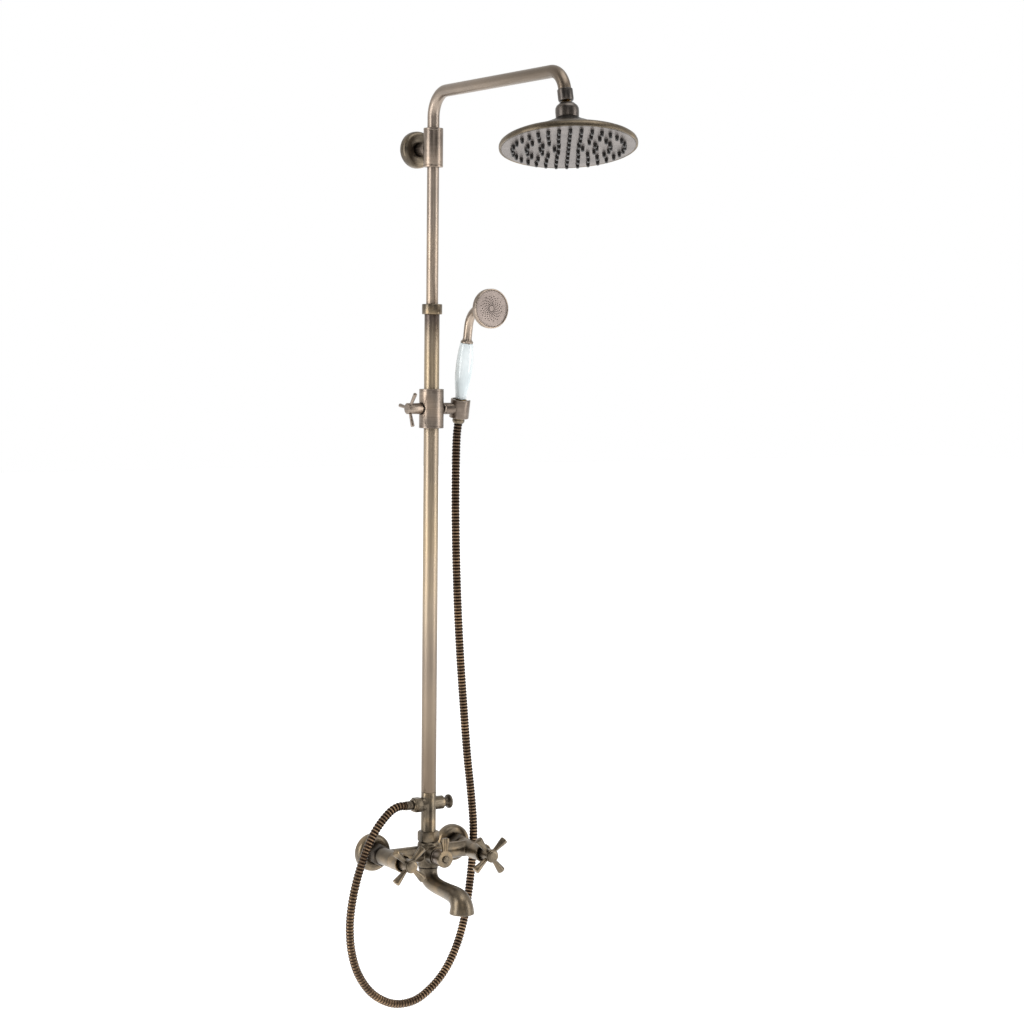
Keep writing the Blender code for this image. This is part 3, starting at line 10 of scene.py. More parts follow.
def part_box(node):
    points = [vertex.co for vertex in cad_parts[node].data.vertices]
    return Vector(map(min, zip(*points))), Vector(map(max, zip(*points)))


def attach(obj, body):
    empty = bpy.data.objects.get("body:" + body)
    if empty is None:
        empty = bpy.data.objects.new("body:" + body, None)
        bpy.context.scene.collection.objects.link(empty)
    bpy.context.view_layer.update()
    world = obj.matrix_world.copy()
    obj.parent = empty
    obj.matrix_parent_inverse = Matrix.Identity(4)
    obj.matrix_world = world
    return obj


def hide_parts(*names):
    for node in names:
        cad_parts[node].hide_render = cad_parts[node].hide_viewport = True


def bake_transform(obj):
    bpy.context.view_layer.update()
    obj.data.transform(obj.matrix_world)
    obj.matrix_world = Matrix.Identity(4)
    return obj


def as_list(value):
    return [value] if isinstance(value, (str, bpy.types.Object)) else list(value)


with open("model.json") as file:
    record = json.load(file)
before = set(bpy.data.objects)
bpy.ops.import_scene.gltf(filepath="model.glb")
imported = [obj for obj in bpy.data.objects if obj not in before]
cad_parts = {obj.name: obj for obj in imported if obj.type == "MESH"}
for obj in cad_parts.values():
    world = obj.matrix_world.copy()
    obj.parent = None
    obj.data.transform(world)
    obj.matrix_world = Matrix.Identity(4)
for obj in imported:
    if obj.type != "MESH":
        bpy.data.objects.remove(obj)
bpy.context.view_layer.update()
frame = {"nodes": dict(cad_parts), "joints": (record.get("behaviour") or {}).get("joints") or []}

MM = 0.001
joints = {joint["name"]: joint for joint in frame["joints"]}


# ---- places taken from the frame ----

def middle(node):
    low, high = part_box(node)
    return (low + high) / 2.0


def heights(node):
    """A node's lowest and highest points in millimetres."""
    low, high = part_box(node)
    return low.z / MM, high.z / MM


def turn_x(degrees):
    return Matrix.Rotation(math.radians(degrees), 4, "X")


def turn_y(degrees):
    return Matrix.Rotation(math.radians(degrees), 4, "Y")


def at(x, y, z, turn=None):
    return Matrix.Translation((x, y, z)) @ (turn if turn else Matrix.Identity(4))


def frame_along(point, axis, side=(1.0, 0.0, 0.0)):
    """A frame at a point whose own Z runs along an axis, its X as near to side as it can be."""
    z = Vector(axis).normalized()
    x = (Vector(side) - z * z.dot(Vector(side))).normalized()
    y = z.cross(x)
    return Matrix.Translation(point) @ Matrix((x, y, z)).transposed().to_4x4()


COLUMN_Y = middle("riser_lower").y
COLUMN = at(0.0, COLUMN_Y, 0.0)
OUT = turn_x(90.0)                                  # own Z comes out from the wall
RIGHT, LEFT = turn_y(90.0), turn_y(-90.0)           # own Z runs along the wall
BALL = Vector(joints["head_tilt"]["pos_m"])
HEAD_AXIS = Vector(joints["head_spin"]["axis"])
HEAD_SPIN = -32.1                                   # turns the rings of nozzles
TIP_BEND = 77.5                                     # degrees that the arm's end is bent down
TIP = Matrix.Translation(BALL) @ turn_x(TIP_BEND - 90.0)
HEAD = frame_along(BALL, HEAD_AXIS) @ Matrix.Rotation(math.radians(HEAD_SPIN), 4, "Z")
HOLDER = Vector(joints["handset_turn"]["pos_m"])
CUP = frame_along(HOLDER, joints["handset_lift"]["axis"])
CUP_LEAN = 10.6
KNOB_Z = Vector(joints["holder_tilt"]["pos_m"]).z
VALVES = {"left": joints["left_valve_turn"]["pos_m"][0], "right": joints["right_valve_turn"]["pos_m"][0]}
SELECTOR_Z = joints["selector_turn"]["pos_m"][2]
BRANCH_Z = middle("hose_ferrule").z
BRACKET_Z = middle("bracket_sleeve").z


# ---- camera ----

def into_scene(thing):
    bpy.context.scene.collection.objects.link(thing)


def camera():
    """A long lens from the room, a little left of the column and looking slightly down."""
    lens = bpy.data.cameras.new("camera")
    lens.lens = 80.0
    lens.clip_start = 0.05
    view = bpy.data.objects.new("camera", lens)
    into_scene(view)
    turn = Matrix.Rotation(math.radians(-33.24), 4, "Z") @ turn_x(90.0 - 3.71)
    level = Matrix.Rotation(math.radians(0.55), 4, "Z")
    view.matrix_world = Matrix.Translation((-1.872, -3.146, 0.784)) @ turn @ level
    bpy.context.scene.camera = view


# ---- materials ----

def colour(hexadecimal):
    """A linear colour from an sRGB hex value."""
    channels = [int(hexadecimal[n:n + 2], 16) / 255.0 for n in (1, 3, 5)]
    linear = [c / 12.92 if c <= 0.04045 else ((c + 0.055) / 1.055) ** 2.4 for c in channels]
    return (*linear, 1.0)


def add(tree, kind, values=None, links=None):
    """One node with its settings, socket values and links."""
    node = tree.nodes.new(kind)
    for key, value in (values or {}).items():
        if isinstance(key, int) or key in node.inputs:
            node.inputs[key].default_value = value
        else:
            setattr(node, key, value)
    for key, source in (links or {}).items():
        tree.links.new(source, node.inputs[key])
    return node


def new_material(name):
    material = bpy.data.materials.new(name)
    material.use_nodes = True
    tree = material.node_tree
    return material, tree, tree.nodes["Principled BSDF"]


def ramp(tree, factor, stops):
    """Colours between named places from 0 to 1."""
    node = add(tree, "ShaderNodeValToRGB", {}, {"Fac": factor})
    elements = node.color_ramp.elements
    elements[0].position, elements[0].color = stops[0][0], colour(stops[0][1])
    elements[1].position, elements[1].color = stops[-1][0], colour(stops[-1][1])
    for place, shade in stops[1:-1]:
        elements.new(place).color = colour(shade)
    return node.outputs["Color"]


def aged_brass(name, tones, grain, roughness=0.34, cloud_mm=60.0, recess=0.75, darker_zones=()):
    """Brass browned in a patina bath, then brushed and lacquered. The eye gets a satin taupe metal with
    warmer rubbed clouds, hair-fine brush lines along the grain, and darkening wherever ambient occlusion
    finds the surface hidden: dark patina in a part's own recesses, and painted shade where neighbouring parts
    crowd it. grain gives the brush lines' spacing in millimetres along X, Y and Z. Each of the darker zones
    is a point round which the colour is darkened, the distances in millimetres where the darkening starts to
    fade and is gone, its shade, and how metallic it looks."""
    material, tree, shader = new_material(name)
    place = add(tree, "ShaderNodeTexCoord").outputs["Object"]
    cloud = add(tree, "ShaderNodeTexNoise", {"Scale": 1.0 / (cloud_mm * MM), "Detail": 3.0,
                                              "Roughness": 0.55}, {"Vector": place})
    tone = ramp(tree, cloud.outputs["Fac"], tones)
    stretch = add(tree, "ShaderNodeMapping", {"Scale": [1.0 / (g * MM) for g in grain]}, {"Vector": place})
    brush = add(tree, "ShaderNodeTexNoise", {"Scale": 1.0, "Detail": 4.0}, {"Vector": stretch.outputs[0]})
    toned = add(tree, "ShaderNodeMix", {"data_type": "RGBA", "blend_type": "OVERLAY", 0: 0.45},
               {6: tone, 7: brush.outputs["Fac"]})
    # painted shade: ambient occlusion, reaching into neighbouring parts, darkens the colour in recesses and
    # where parts meet; in a part's own hollows it also stands for dark patina
    occlusion_shade = add(tree, "ShaderNodeAmbientOcclusion", {"Distance": 10.0 * MM, "samples": 6,
                                                       "only_local": False})
    depth = add(tree, "ShaderNodeMapRange", {"From Min": 0.25, "From Max": 0.90, "To Min": 1.0 - recess,
                                              "To Max": 1.0}, {"Value": occlusion_shade.outputs["AO"]})
    patina = add(tree, "ShaderNodeMix", {"data_type": "RGBA", 6: colour("#1c1612")},
                 {0: depth.outputs[0], 7: toned.outputs[2]})
    metal = None
    # each darker zone darkens the colour round a point: painted shade under the riser's collar, a painted
    # dark reflection on the bell's upper face, and on the riser's foot and the arm's end only a colour darker
    # towards that point
    for point, near, far, shade, metallic in darker_zones:
        away = add(tree, "ShaderNodeVectorMath", {"operation": "DISTANCE", 1: point}, {0: place})
        ragged = add(tree, "ShaderNodeMath", {"operation": "MULTIPLY_ADD", 1: (far - near) * -0.8 * MM},
                     {0: brush.outputs["Fac"], 2: away.outputs["Value"]})
        fade = add(tree, "ShaderNodeMapRange", {"interpolation_type": "SMOOTHSTEP",
                                                 "From Min": (near - (far - near) * 0.4) * MM,
                                                 "From Max": (far - (far - near) * 0.4) * MM},
                   {"Value": ragged.outputs[0]})
        patina = add(tree, "ShaderNodeMix", {"data_type": "RGBA", 6: colour(shade)},
                     {0: fade.outputs[0], 7: patina.outputs[2]})
        if metallic < 1.0:
            metal = add(tree, "ShaderNodeMapRange", {"To Min": metallic, "To Max": 1.0},
                        {"Value": fade.outputs[0]})
            sheen = add(tree, "ShaderNodeMapRange", {"To Min": 0.06, "To Max": 0.5},
                        {"Value": fade.outputs[0]})
            tree.links.new(sheen.outputs[0], shader.inputs["Specular IOR Level"])
    gloss = add(tree, "ShaderNodeMapRange", {"To Min": roughness - 0.07, "To Max": roughness + 0.09},
                {"Value": brush.outputs["Fac"]})
    relief = add(tree, "ShaderNodeBump", {"Strength": 0.12, "Distance": 0.03 * MM},
                 {"Height": brush.outputs["Fac"]})
    shader.inputs["Metallic"].default_value = 1.0
    if metal:
        tree.links.new(metal.outputs[0], shader.inputs["Metallic"])
    shader.inputs["Coat Weight"].default_value = 0.0 if metal else 0.3
    shader.inputs["Coat Roughness"].default_value = 0.35
    tree.links.new(patina.outputs[2], shader.inputs["Base Color"])
    tree.links.new(gloss.outputs[0], shader.inputs["Roughness"])
    tree.links.new(relief.outputs[0], shader.inputs["Normal"])
    return material


TAUPE = ((0.30, "#4b4338"), (0.50, "#6d6252"), (0.70, "#937f63"))
TAN = ((0.28, "#847769"), (0.50, "#9a8b78"), (0.74, "#aa9779"))
PALE = ((0.28, "#81766c"), (0.50, "#998b7e"), (0.74, "#ab9882"))
ROSY = ((0.28, "#655a51"), (0.50, "#82766b"), (0.74, "#9e8c7b"))
GUNMETAL = ((0.28, "#35312e"), (0.50, "#48433f"), (0.74, "#6a6058"))
BRONZE = ((0.30, "#2f2a26"), (0.52, "#433c34"), (0.75, "#5e5241"))


def ring_brass():
    """The hose's interlocked strip: brass on each ring's crest, darkening to near black in the groove between
    two rings, which is painted shade with some patina packed there; the strip is also darker near the holder.
    The attribute ring is 1 on a crest and 0 in a groove."""
    material, tree, shader = new_material("hose strip, interlocked aged brass")
    place = add(tree, "ShaderNodeTexCoord").outputs["Object"]
    ring = add(tree, "ShaderNodeAttribute", {"attribute_name": "ring"})
    cloud = add(tree, "ShaderNodeTexNoise", {"Scale": 1.0 / (25.0 * MM), "Detail": 3.0}, {"Vector": place})
    crest = ramp(tree, cloud.outputs["Fac"], ((0.30, "#5f4f41"), (0.52, "#7f6a55"), (0.72, "#9c8165")))
    # painted shade: the groove between two rings is mixed towards near black, with some patina there
    shade = add(tree, "ShaderNodeMapRange", {"From Min": 0.25, "From Max": 0.85},
                {"Value": ring.outputs["Fac"]})
    # darker near the holder, fading out between 6 and 42 cm from it
    above = add(tree, "ShaderNodeVectorMath", {"operation": "DISTANCE", 1: tuple(HOLDER)}, {0: place})
    holder_fade = add(tree, "ShaderNodeMapRange", {"From Min": 0.06, "From Max": 0.42, "To Min": 0.25,
                                               "To Max": 1.0}, {"Value": above.outputs["Value"]})
    toned = add(tree, "ShaderNodeMix", {"data_type": "RGBA", 6: colour("#40352d")},
               {0: holder_fade.outputs[0], 7: crest})
    mixed = add(tree, "ShaderNodeMix", {"data_type": "RGBA", 6: colour("#1f1610")},
                {0: shade.outputs[0], 7: toned.outputs[2]})
    shader.inputs["Metallic"].default_value = 1.0
    shader.inputs["Roughness"].default_value = 0.36
    tree.links.new(mixed.outputs[2], shader.inputs["Base Color"])
    return material


def porcelain():
    """Slip-cast porcelain under a clear glaze: cool white, faintly blue where the glaze lies thick, with
    soft waviness in the gloss."""
    material, tree, shader = new_material("glazed white porcelain")
    place = add(tree, "ShaderNodeTexCoord").outputs["Object"]
    pool = add(tree, "ShaderNodeTexNoise", {"Scale": 1.0 / (30.0 * MM), "Detail": 2.0}, {"Vector": place})
    tint = ramp(tree, pool.outputs["Fac"], ((0.30, "#c3cdd0"), (0.70, "#d6dddf")))
    wave = add(tree, "ShaderNodeTexNoise", {"Scale": 1.0 / (9.0 * MM), "Detail": 1.0}, {"Vector": place})
    relief = add(tree, "ShaderNodeBump", {"Strength": 0.15, "Distance": 0.1 * MM},
                 {"Height": wave.outputs["Fac"]})
    shader.inputs["Roughness"].default_value = 0.16
    shader.inputs["Coat Weight"].default_value = 0.6
    shader.inputs["Coat Roughness"].default_value = 0.05
    tree.links.new(tint, shader.inputs["Base Color"])
    tree.links.new(relief.outputs[0], shader.inputs["Normal"])
    return material


def moulded(name, dark, light, roughness, grain_mm=0.4):
    """A moulded plastic or rubber: one deep colour with a fine matt grain."""
    material, tree, shader = new_material(name)
    place = add(tree, "ShaderNodeTexCoord").outputs["Object"]
    grain = add(tree, "ShaderNodeTexNoise", {"Scale": 1.0 / (grain_mm * MM), "Detail": 2.0},
                {"Vector": place})
    tint = ramp(tree, grain.outputs["Fac"], ((0.35, dark), (0.65, light)))
    relief = add(tree, "ShaderNodeBump", {"Strength": 0.2, "Distance": 0.02 * MM},
                 {"Height": grain.outputs["Fac"]})
    shader.inputs["Roughness"].default_value = roughness
    tree.links.new(tint, shader.inputs["Base Color"])
    tree.links.new(relief.outputs[0], shader.inputs["Normal"])
    return material


def machined(name, dark, light, roughness):
    """Bare metal left as it was turned, with fine tool rings and no patina."""
    material, tree, shader = new_material(name)
    place = add(tree, "ShaderNodeTexCoord").outputs["Object"]
    rings = add(tree, "ShaderNodeTexNoise", {"Scale": 1.0 / (1.2 * MM), "Detail": 2.0}, {"Vector": place})
    tint = ramp(tree, rings.outputs["Fac"], ((0.35, dark), (0.65, light)))
    shader.inputs["Metallic"].default_value = 1.0
    shader.inputs["Roughness"].default_value = roughness
    tree.links.new(tint, shader.inputs["Base Color"])
    return material


LENGTHWISE = (2.4, 2.4, 90.0)   # brush lines that run up a piece
CAST = (2.0, 2.0, 2.0)          # tumbled, with no direction
RISER_END = (0.0, COLUMN_Y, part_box("riser_lock_collar")[0].z)
RISER_FOOT = (0.0, COLUMN_Y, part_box("riser_lower")[0].z)
ARM_END = tuple(BALL)
MATERIALS = {
    # riser: painted shade just under the lock collar, and a colour that grows darker towards the riser's foot
    "riser": aged_brass("aged brass tube, brushed lengthwise", TAN, LENGTHWISE, 0.40, 220.0, 0.5,
                        ((RISER_END, 6.0, 46.0, "#5c514b", 1.0),
                         (RISER_FOOT, 10.0, 240.0, "#6f6152", 1.0))),
    "arm": aged_brass("aged brass tube, lightly browned", PALE, (2.4, 60.0, 60.0), 0.36, 160.0, 0.6,
                      ((ARM_END, 30.0, 420.0, "#6a5e51", 1.0),)),
    "neck": aged_brass("aged brass tube, rubbed bright", PALE, (1.5, 30.0, 30.0), 0.32, 60.0, 0.7),
    "fitting": aged_brass("aged brass fitting", TAUPE, CAST, 0.32, 30.0, 0.85),
    "gunmetal": aged_brass("aged brass, patina left dark", GUNMETAL, CAST, 0.33, 40.0, 0.85),
    "turned": aged_brass("aged brass, turned and brushed round", ROSY, (60.0, 60.0, 1.6), 0.33, 40.0, 0.85),
    "rubbed": aged_brass("aged brass fitting, rubbed pale", PALE, CAST, 0.34, 30.0, 0.6),
    "cast": aged_brass("cast aged brass", TAUPE, CAST, 0.36, 34.0, 0.9),
    # bell: painted dark reflection on its upward face round the neck, near black and barely metallic
    "bell": aged_brass("spun aged brass, dark round its neck", TAUPE, CAST, 0.38, 60.0, 0.6,
                       ((ARM_END, 44.0, 128.0, "#1b1917", 0.1),)),
    "dark": aged_brass("dark bronze", BRONZE, CAST, 0.38, 30.0),
    "plate": aged_brass("aged brass face plate", ((0.3, "#6c6663"), (0.7, "#827b77")), CAST, 0.42, 30.0, 0.6),
    "spray plate": aged_brass("aged brass spray plate", ((0.3, "#7d726c"), (0.7, "#92867f")),
                              CAST, 0.42, 30.0,
                              0.7),
    "hose": ring_brass(),
    "porcelain": porcelain(),
    "nozzle": moulded("black silicone rubber", "#141210", "#1f1c1a", 0.15),
    "acetal": moulded("acetal", "#55524e", "#625f5b", 0.5),
    "rubber": moulded("nitrile rubber", "#1b1b1b", "#262626", 0.7),
    "bare brass": machined("bare turned brass", "#8f7546", "#a98c58", 0.35),
    "stainless": machined("brushed stainless steel", "#a3a19c", "#b6b4af", 0.32),
}


# ---- tools for modelling pieces ----

def deselect():
    bpy.ops.object.select_all(action="DESELECT")


def activate(piece):
    deselect()
    piece.select_set(True)
    bpy.context.view_layer.objects.active = piece


def freeze():
    """Moves the selected pieces' place and size into their meshes."""
    bpy.ops.object.transform_apply(location=True, rotation=True, scale=True)


def face_outwards():
    bpy.ops.mesh.select_all(action="SELECT")
    bpy.ops.mesh.remove_doubles(threshold=0.002 * MM)
    bpy.ops.mesh.normals_make_consistent(inside=False)


def settle(piece, frame_of_piece):
    """Puts a piece where its frame says, with its place kept in its mesh."""
    activate(piece)
    piece.matrix_world = frame_of_piece
    freeze()
    return piece


def apply(piece, kind, **settings):
    """Adds a modifier, sets it and applies it."""
    activate(piece)
    step = piece.modifiers.new(kind.title(), kind)
    for key, value in settings.items():
        setattr(step, key, value)
    bpy.ops.object.modifier_apply(modifier=step.name)
    return piece


def soften(piece, width_mm=0.4, segments=2, angle=32.0):
    """Breaks the sharp edges as a polishing wheel does, and smooths what is left."""
    if width_mm:
        apply(piece, "BEVEL", width=width_mm * MM, segments=segments, limit_method="ANGLE",
              angle_limit=math.radians(angle), harden_normals=False)
    activate(piece)
    bpy.ops.object.shade_smooth_by_angle(angle=math.radians(38.0))
    return piece


def open_circle(name, radius, centre, sides):
    """Starts a piece as a circle, left in edit mode with its edges selected."""
    deselect()
    bpy.ops.mesh.primitive_circle_add(vertices=sides, radius=radius, location=centre)
    piece = bpy.context.object
    piece.name = name
    freeze()
    bpy.ops.object.mode_set(mode="EDIT")
    bpy.ops.mesh.select_mode(type="EDGE")
    bpy.ops.mesh.select_all(action="SELECT")
    return piece


def pull_up(profile):
    """Extrudes the selected edges through a profile's (radius, height) points in millimetres."""
    for (radius, height), (next_radius, next_height) in zip(profile, profile[1:]):
        bpy.ops.mesh.extrude_region_move(
            TRANSFORM_OT_translate={"value": (0.0, 0.0, (next_height - height) * MM)})
        grow = next_radius / radius
        bpy.ops.transform.resize(value=(grow, grow, 1.0), center_override=(0.0, 0.0, next_height * MM))


def close_ends():
    """Fills both ends of a pipe and leaves edit mode."""
    bpy.ops.mesh.select_all(action="DESELECT")
    bpy.ops.mesh.select_non_manifold(extend=False)
    bpy.ops.mesh.edge_face_add()
    face_outwards()
    bpy.ops.object.mode_set(mode="OBJECT")


def lathe(name, profile, where, ring=False, sides=64):
    """A turned shape. The profile's (radius, height) points in millimetres run down the outer side, and
    up the bore of a ring."""
    first_radius, first_height = profile[0]
    piece = open_circle(name, first_radius * MM, (0.0, 0.0, first_height * MM), sides)
    if not ring:
        bpy.ops.mesh.edge_face_add()
    pull_up(profile)
    if ring:
        bpy.ops.mesh.select_all(action="DESELECT")
        bpy.ops.mesh.select_non_manifold(extend=False)
        bpy.ops.mesh.bridge_edge_loops()
    face_outwards()
    bpy.ops.object.mode_set(mode="OBJECT")
    return settle(piece, where)


def merge_in(piece, other, operation="UNION"):
    """Joins another shape to a piece, or cuts it away, and uses it up."""
    apply(piece, "BOOLEAN", operation=operation, solver="EXACT", object=other)
    bpy.data.objects.remove(other, do_unlink=True)
    return piece


def cast_together(piece, grain_mm=0.7, passes=6):
    """Melts joined shapes into one skin with soft inner corners, as a casting has."""
    apply(piece, "REMESH", mode="VOXEL", voxel_size=grain_mm * MM, adaptivity=0.0, use_smooth_shade=True)
    apply(piece, "SMOOTH", factor=0.5, iterations=passes)
    return piece


def join(piece, other):
    """Makes another shape part of a piece's mesh, each keeping its own skin."""
    deselect()
    other.select_set(True)
    piece.select_set(True)
    bpy.context.view_layer.objects.active = piece
    bpy.ops.object.join()


def copies(piece, places):
    """The piece itself and a copy for each further place, joined to one mesh."""
    made = []
    for n, where in enumerate(places):
        twin = piece if n == 0 else piece.copy()
        if n:
            twin.data = piece.data.copy()
            into_scene(twin)
        made.append((twin, where))
    deselect()
    for twin, where in made:
        twin.matrix_world = where
        twin.select_set(True)
    bpy.context.view_layer.objects.active = piece
    freeze()
    bpy.ops.object.join()
    return bpy.context.object


def hexagon(name, flats, low, high, where, chamfer=1.2):
    """A hexagonal bar with turned-off corners."""
    corner = flats / math.sqrt(3.0)
    deselect()
    bpy.ops.mesh.primitive_cylinder_add(vertices=6, radius=corner * MM, depth=(high - low) * MM,
                                        location=(0.0, 0.0, (low + high) / 2.0 * MM))
    bar = bpy.context.object
    bar.name = name
    freeze()
    blank = lathe(name + "_blank", [(flats / 2.0, high), (corner, high - chamfer), (corner, low + chamfer),
                                    (flats / 2.0, low)], Matrix.Identity(4))
    merge_in(bar, blank, "INTERSECT")
    return settle(bar, where)


def keep(piece, body, finish, *nodes):
    """A finished piece: its material, the body it rides on and the CAD nodes it stands for."""
    piece.name = nodes[0] + "_finished"
    piece.data.materials.clear()
    piece.data.materials.append(MATERIALS[finish])
    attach(piece, body)
    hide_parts(*nodes)
    return piece


# ---- the hose ----

HOSE_RADIUS = 6.8
RING_PITCH = 5.2          # one turn of the interlocked strip
SHORT_STRETCH = 0.082     # metres of hose given to each joint of the holder
HOSE_ROUTE = (
    # from the tee's outlet to the left, down past the left inlet, round the loop and up to the holder
    (-0.0433, -0.0535, 0.0800), (-0.0560, -0.0535, 0.0800), (-0.0695, -0.0538, 0.0745),
    (-0.0840, -0.0545, 0.0625), (-0.0975, -0.0550, 0.0470), (-0.1100, -0.0555, 0.0270),
    (-0.1220, -0.0558, 0.0000), (-0.1330, -0.0558, -0.0320), (-0.1410, -0.0555, -0.0680),
    (-0.1440, -0.0550, -0.1050), (-0.1400, -0.0545, -0.1440), (-0.1270, -0.0540, -0.1820),
    (-0.1010, -0.0535, -0.2160), (-0.0640, -0.0530, -0.2370), (-0.0250, -0.0520, -0.2385),
    (0.0080, -0.0505, -0.2230), (0.0370, -0.0475, -0.1980), (0.0610, -0.0425, -0.1640),
    (0.0790, -0.0370, -0.1230), (0.0915, -0.0325, -0.0720), (0.0990, -0.0300, -0.0180),
    (0.1010, -0.0290, 0.0280), (0.0960, -0.0285, 0.0850), (0.0880, -0.0290, 0.1460),
    (0.0795, -0.0305, 0.2250), (0.0712, -0.0325, 0.3050), (0.0645, -0.0345, 0.3840),
    (0.0595, -0.0365, 0.4620), (0.0555, -0.0390, 0.5500), (0.0533, -0.0425, 0.6250),
)


def hose_line(step=0.0004):
    """The hose's smooth centreline with the distance along it at each point."""
    end = CUP @ Vector((0.0, 0.0, -24.3 * MM))
    lean = CUP @ Vector((0.0, 0.0, -46.3 * MM))
    points = [Vector(point) for point in HOSE_ROUTE] + [lean, end]
    knots = [2 * points[0] - points[1]] + points + [2 * points[-1] - points[-2]]
    line = []
    for a, b, c, d in zip(knots, knots[1:], knots[2:], knots[3:]):
        count = max(1, round((c - b).length / step))
        for n in range(count):
            t = n / count
            line.append(0.5 * (2 * b + (c - a) * t + (2 * a - 5 * b + 4 * c - d) * t * t
                               + (3 * b - a - 3 * c + d) * t * t * t))
    line.append(points[-1])
    distance = [0.0]
    for before, after in zip(line, line[1:]):
        distance.append(distance[-1] + (after - before).length)
    return line, distance


def hose_point(line, distance, along):
    """The centreline's point at a distance from the tee."""
    low, high = 0, len(distance) - 1
    while high - low > 1:
        mid = (low + high) // 2
        if distance[mid] <= along:
            low = mid
        else:
            high = mid
    share = (along - distance[low]) / max(distance[high] - distance[low], 1e-9)
    return line[low].lerp(line[high], min(1.0, max(0.0, share)))


# One ring of the strip from groove to groove: share of the pitch, radius share, brightness (painted shade: 0
# dark in the groove, 1 on the crest).
RING_ROWS = ((0.0, 0.86, 0.0), (0.16, 0.87, 0.05), (0.27, 0.97, 0.6), (0.42, 1.0, 1.0), (0.68, 0.99, 1.0),
             (0.84, 0.95, 0.5), (0.93, 0.88, 0.1))


def hose_stretch(name, line, distance, first_ring, last_ring, pitch, sides=14):
    """A run of whole rings of the hose as one closed tube."""
    rows = [((ring + place) * pitch, size, bright)
            for ring in range(first_ring, last_ring) for place, size, bright in RING_ROWS]
    rows.append((last_ring * pitch, RING_ROWS[0][1], 0.0))
    curve = bpy.data.curves.new(name, "CURVE")
    curve.dimensions = "3D"
    curve.bevel_depth = HOSE_RADIUS * MM
    curve.bevel_resolution = (sides - 4) // 2
    curve.use_fill_caps = True
    spline = curve.splines.new("POLY")
    spline.points.add(len(rows) - 1)
    path = []
    for knot, (along, size, bright) in zip(spline.points, rows):
        point = hose_point(line, distance, along)
        knot.co = (*point, 1.0)
        knot.radius = size
        path.append(point)
    tube = bpy.data.objects.new(name, curve)
    into_scene(tube)
    activate(tube)
    bpy.ops.object.convert(target="MESH")
    tube = bpy.context.object
    ring = tube.data.attributes.new("ring", "FLOAT", "POINT")
    limit = len(rows) * sides
    values = [rows[min(n // sides, len(rows) - 1)][2] if n < limit else 0.0
              for n in range(len(tube.data.vertices))]
    ring.data.foreach_set("value", values)
    bpy.ops.object.shade_smooth()
    tube.data.materials.append(MATERIALS["hose"])
    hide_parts("shower_hose")
    return tube, path


def hose(ends):
    """The hose in five stretches, cut where it crosses from one body to the next. The first is held by the
    tee;
    the other four are baked where they lie."""
    line, distance = hose_line()
    whole = distance[-1]
    rings = round(whole / (RING_PITCH * MM))
    pitch = whole / rings
    leftmost = min(range(len(line)), key=lambda n: line[n].x)
    short = math.ceil(SHORT_STRETCH / pitch)
    marks = [0, round(distance[leftmost] / pitch), rings - 3 * short, rings - 2 * short, rings - short, rings]
    crossings = (None, ("wall_frame", "slider_liner"), ("slider_liner", "slider"), ("slider", "holder"),
                 ("holder", "hose_nut"))
    for n, crossing in enumerate(crossings):
        tube, path = hose_stretch(f"hose_{n + 1}", line, distance, marks[n], marks[n + 1], pitch)
        if crossing is None:
            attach(tube, "wall_frame")
        elif n == 1:
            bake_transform(tube)
        else:
            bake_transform(tube)
        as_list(ends.get(n, ()))


def hose_fittings():
    """Nut and ferrule at the tee, and the conical nut under the handset."""
    where = at(0.0, COLUMN_Y, BRANCH_Z, LEFT)
    nut = hexagon("hose_hex_nut", 22.0, 15.8, 28.0, where, 1.0)
    collar = lathe("hose_nut_collar", [(9.6, 27.0), (9.6, 30.8)], where)
    merge_in(nut, collar)
    merge_in(nut, lathe("nut_bore", [(7.5, 32.0), (7.5, 10.0)], where), "DIFFERENCE")
    soften(nut, 0.3)
    keep(nut, "wall_frame", "fitting", "hose_hex_nut")
    ferrule = lathe("hose_ferrule", [(7.2, 43.0), (7.2, 38.6), (6.9, 38.3), (6.9, 37.7), (7.2, 37.4),
                                     (7.2, 28.0), (4.5, 28.0), (4.5, 43.0)], where, ring=True)
    soften(ferrule, 0.2)
    keep(ferrule, "wall_frame", "dark", "hose_ferrule")
    cone = lathe("hose_cone_nut", [(11.9, 13.8), (12.4, 13.0), (11.0, -4.0), (9.4, -17.6), (9.9, -18.2),
                                   (9.8, -21.0), (8.6, -23.0), (7.8, -24.0), (3.4, -24.0), (3.4, 3.5),
                                   (8.3, 3.5), (8.3, 13.8)], CUP, ring=True)
    soften(cone, 0.3)
    keep(cone, "hose_nut", "fitting", "hose_cone_nut")
    return {0: [nut, ferrule], 4: [cone]}


# ---- wall bracket ----

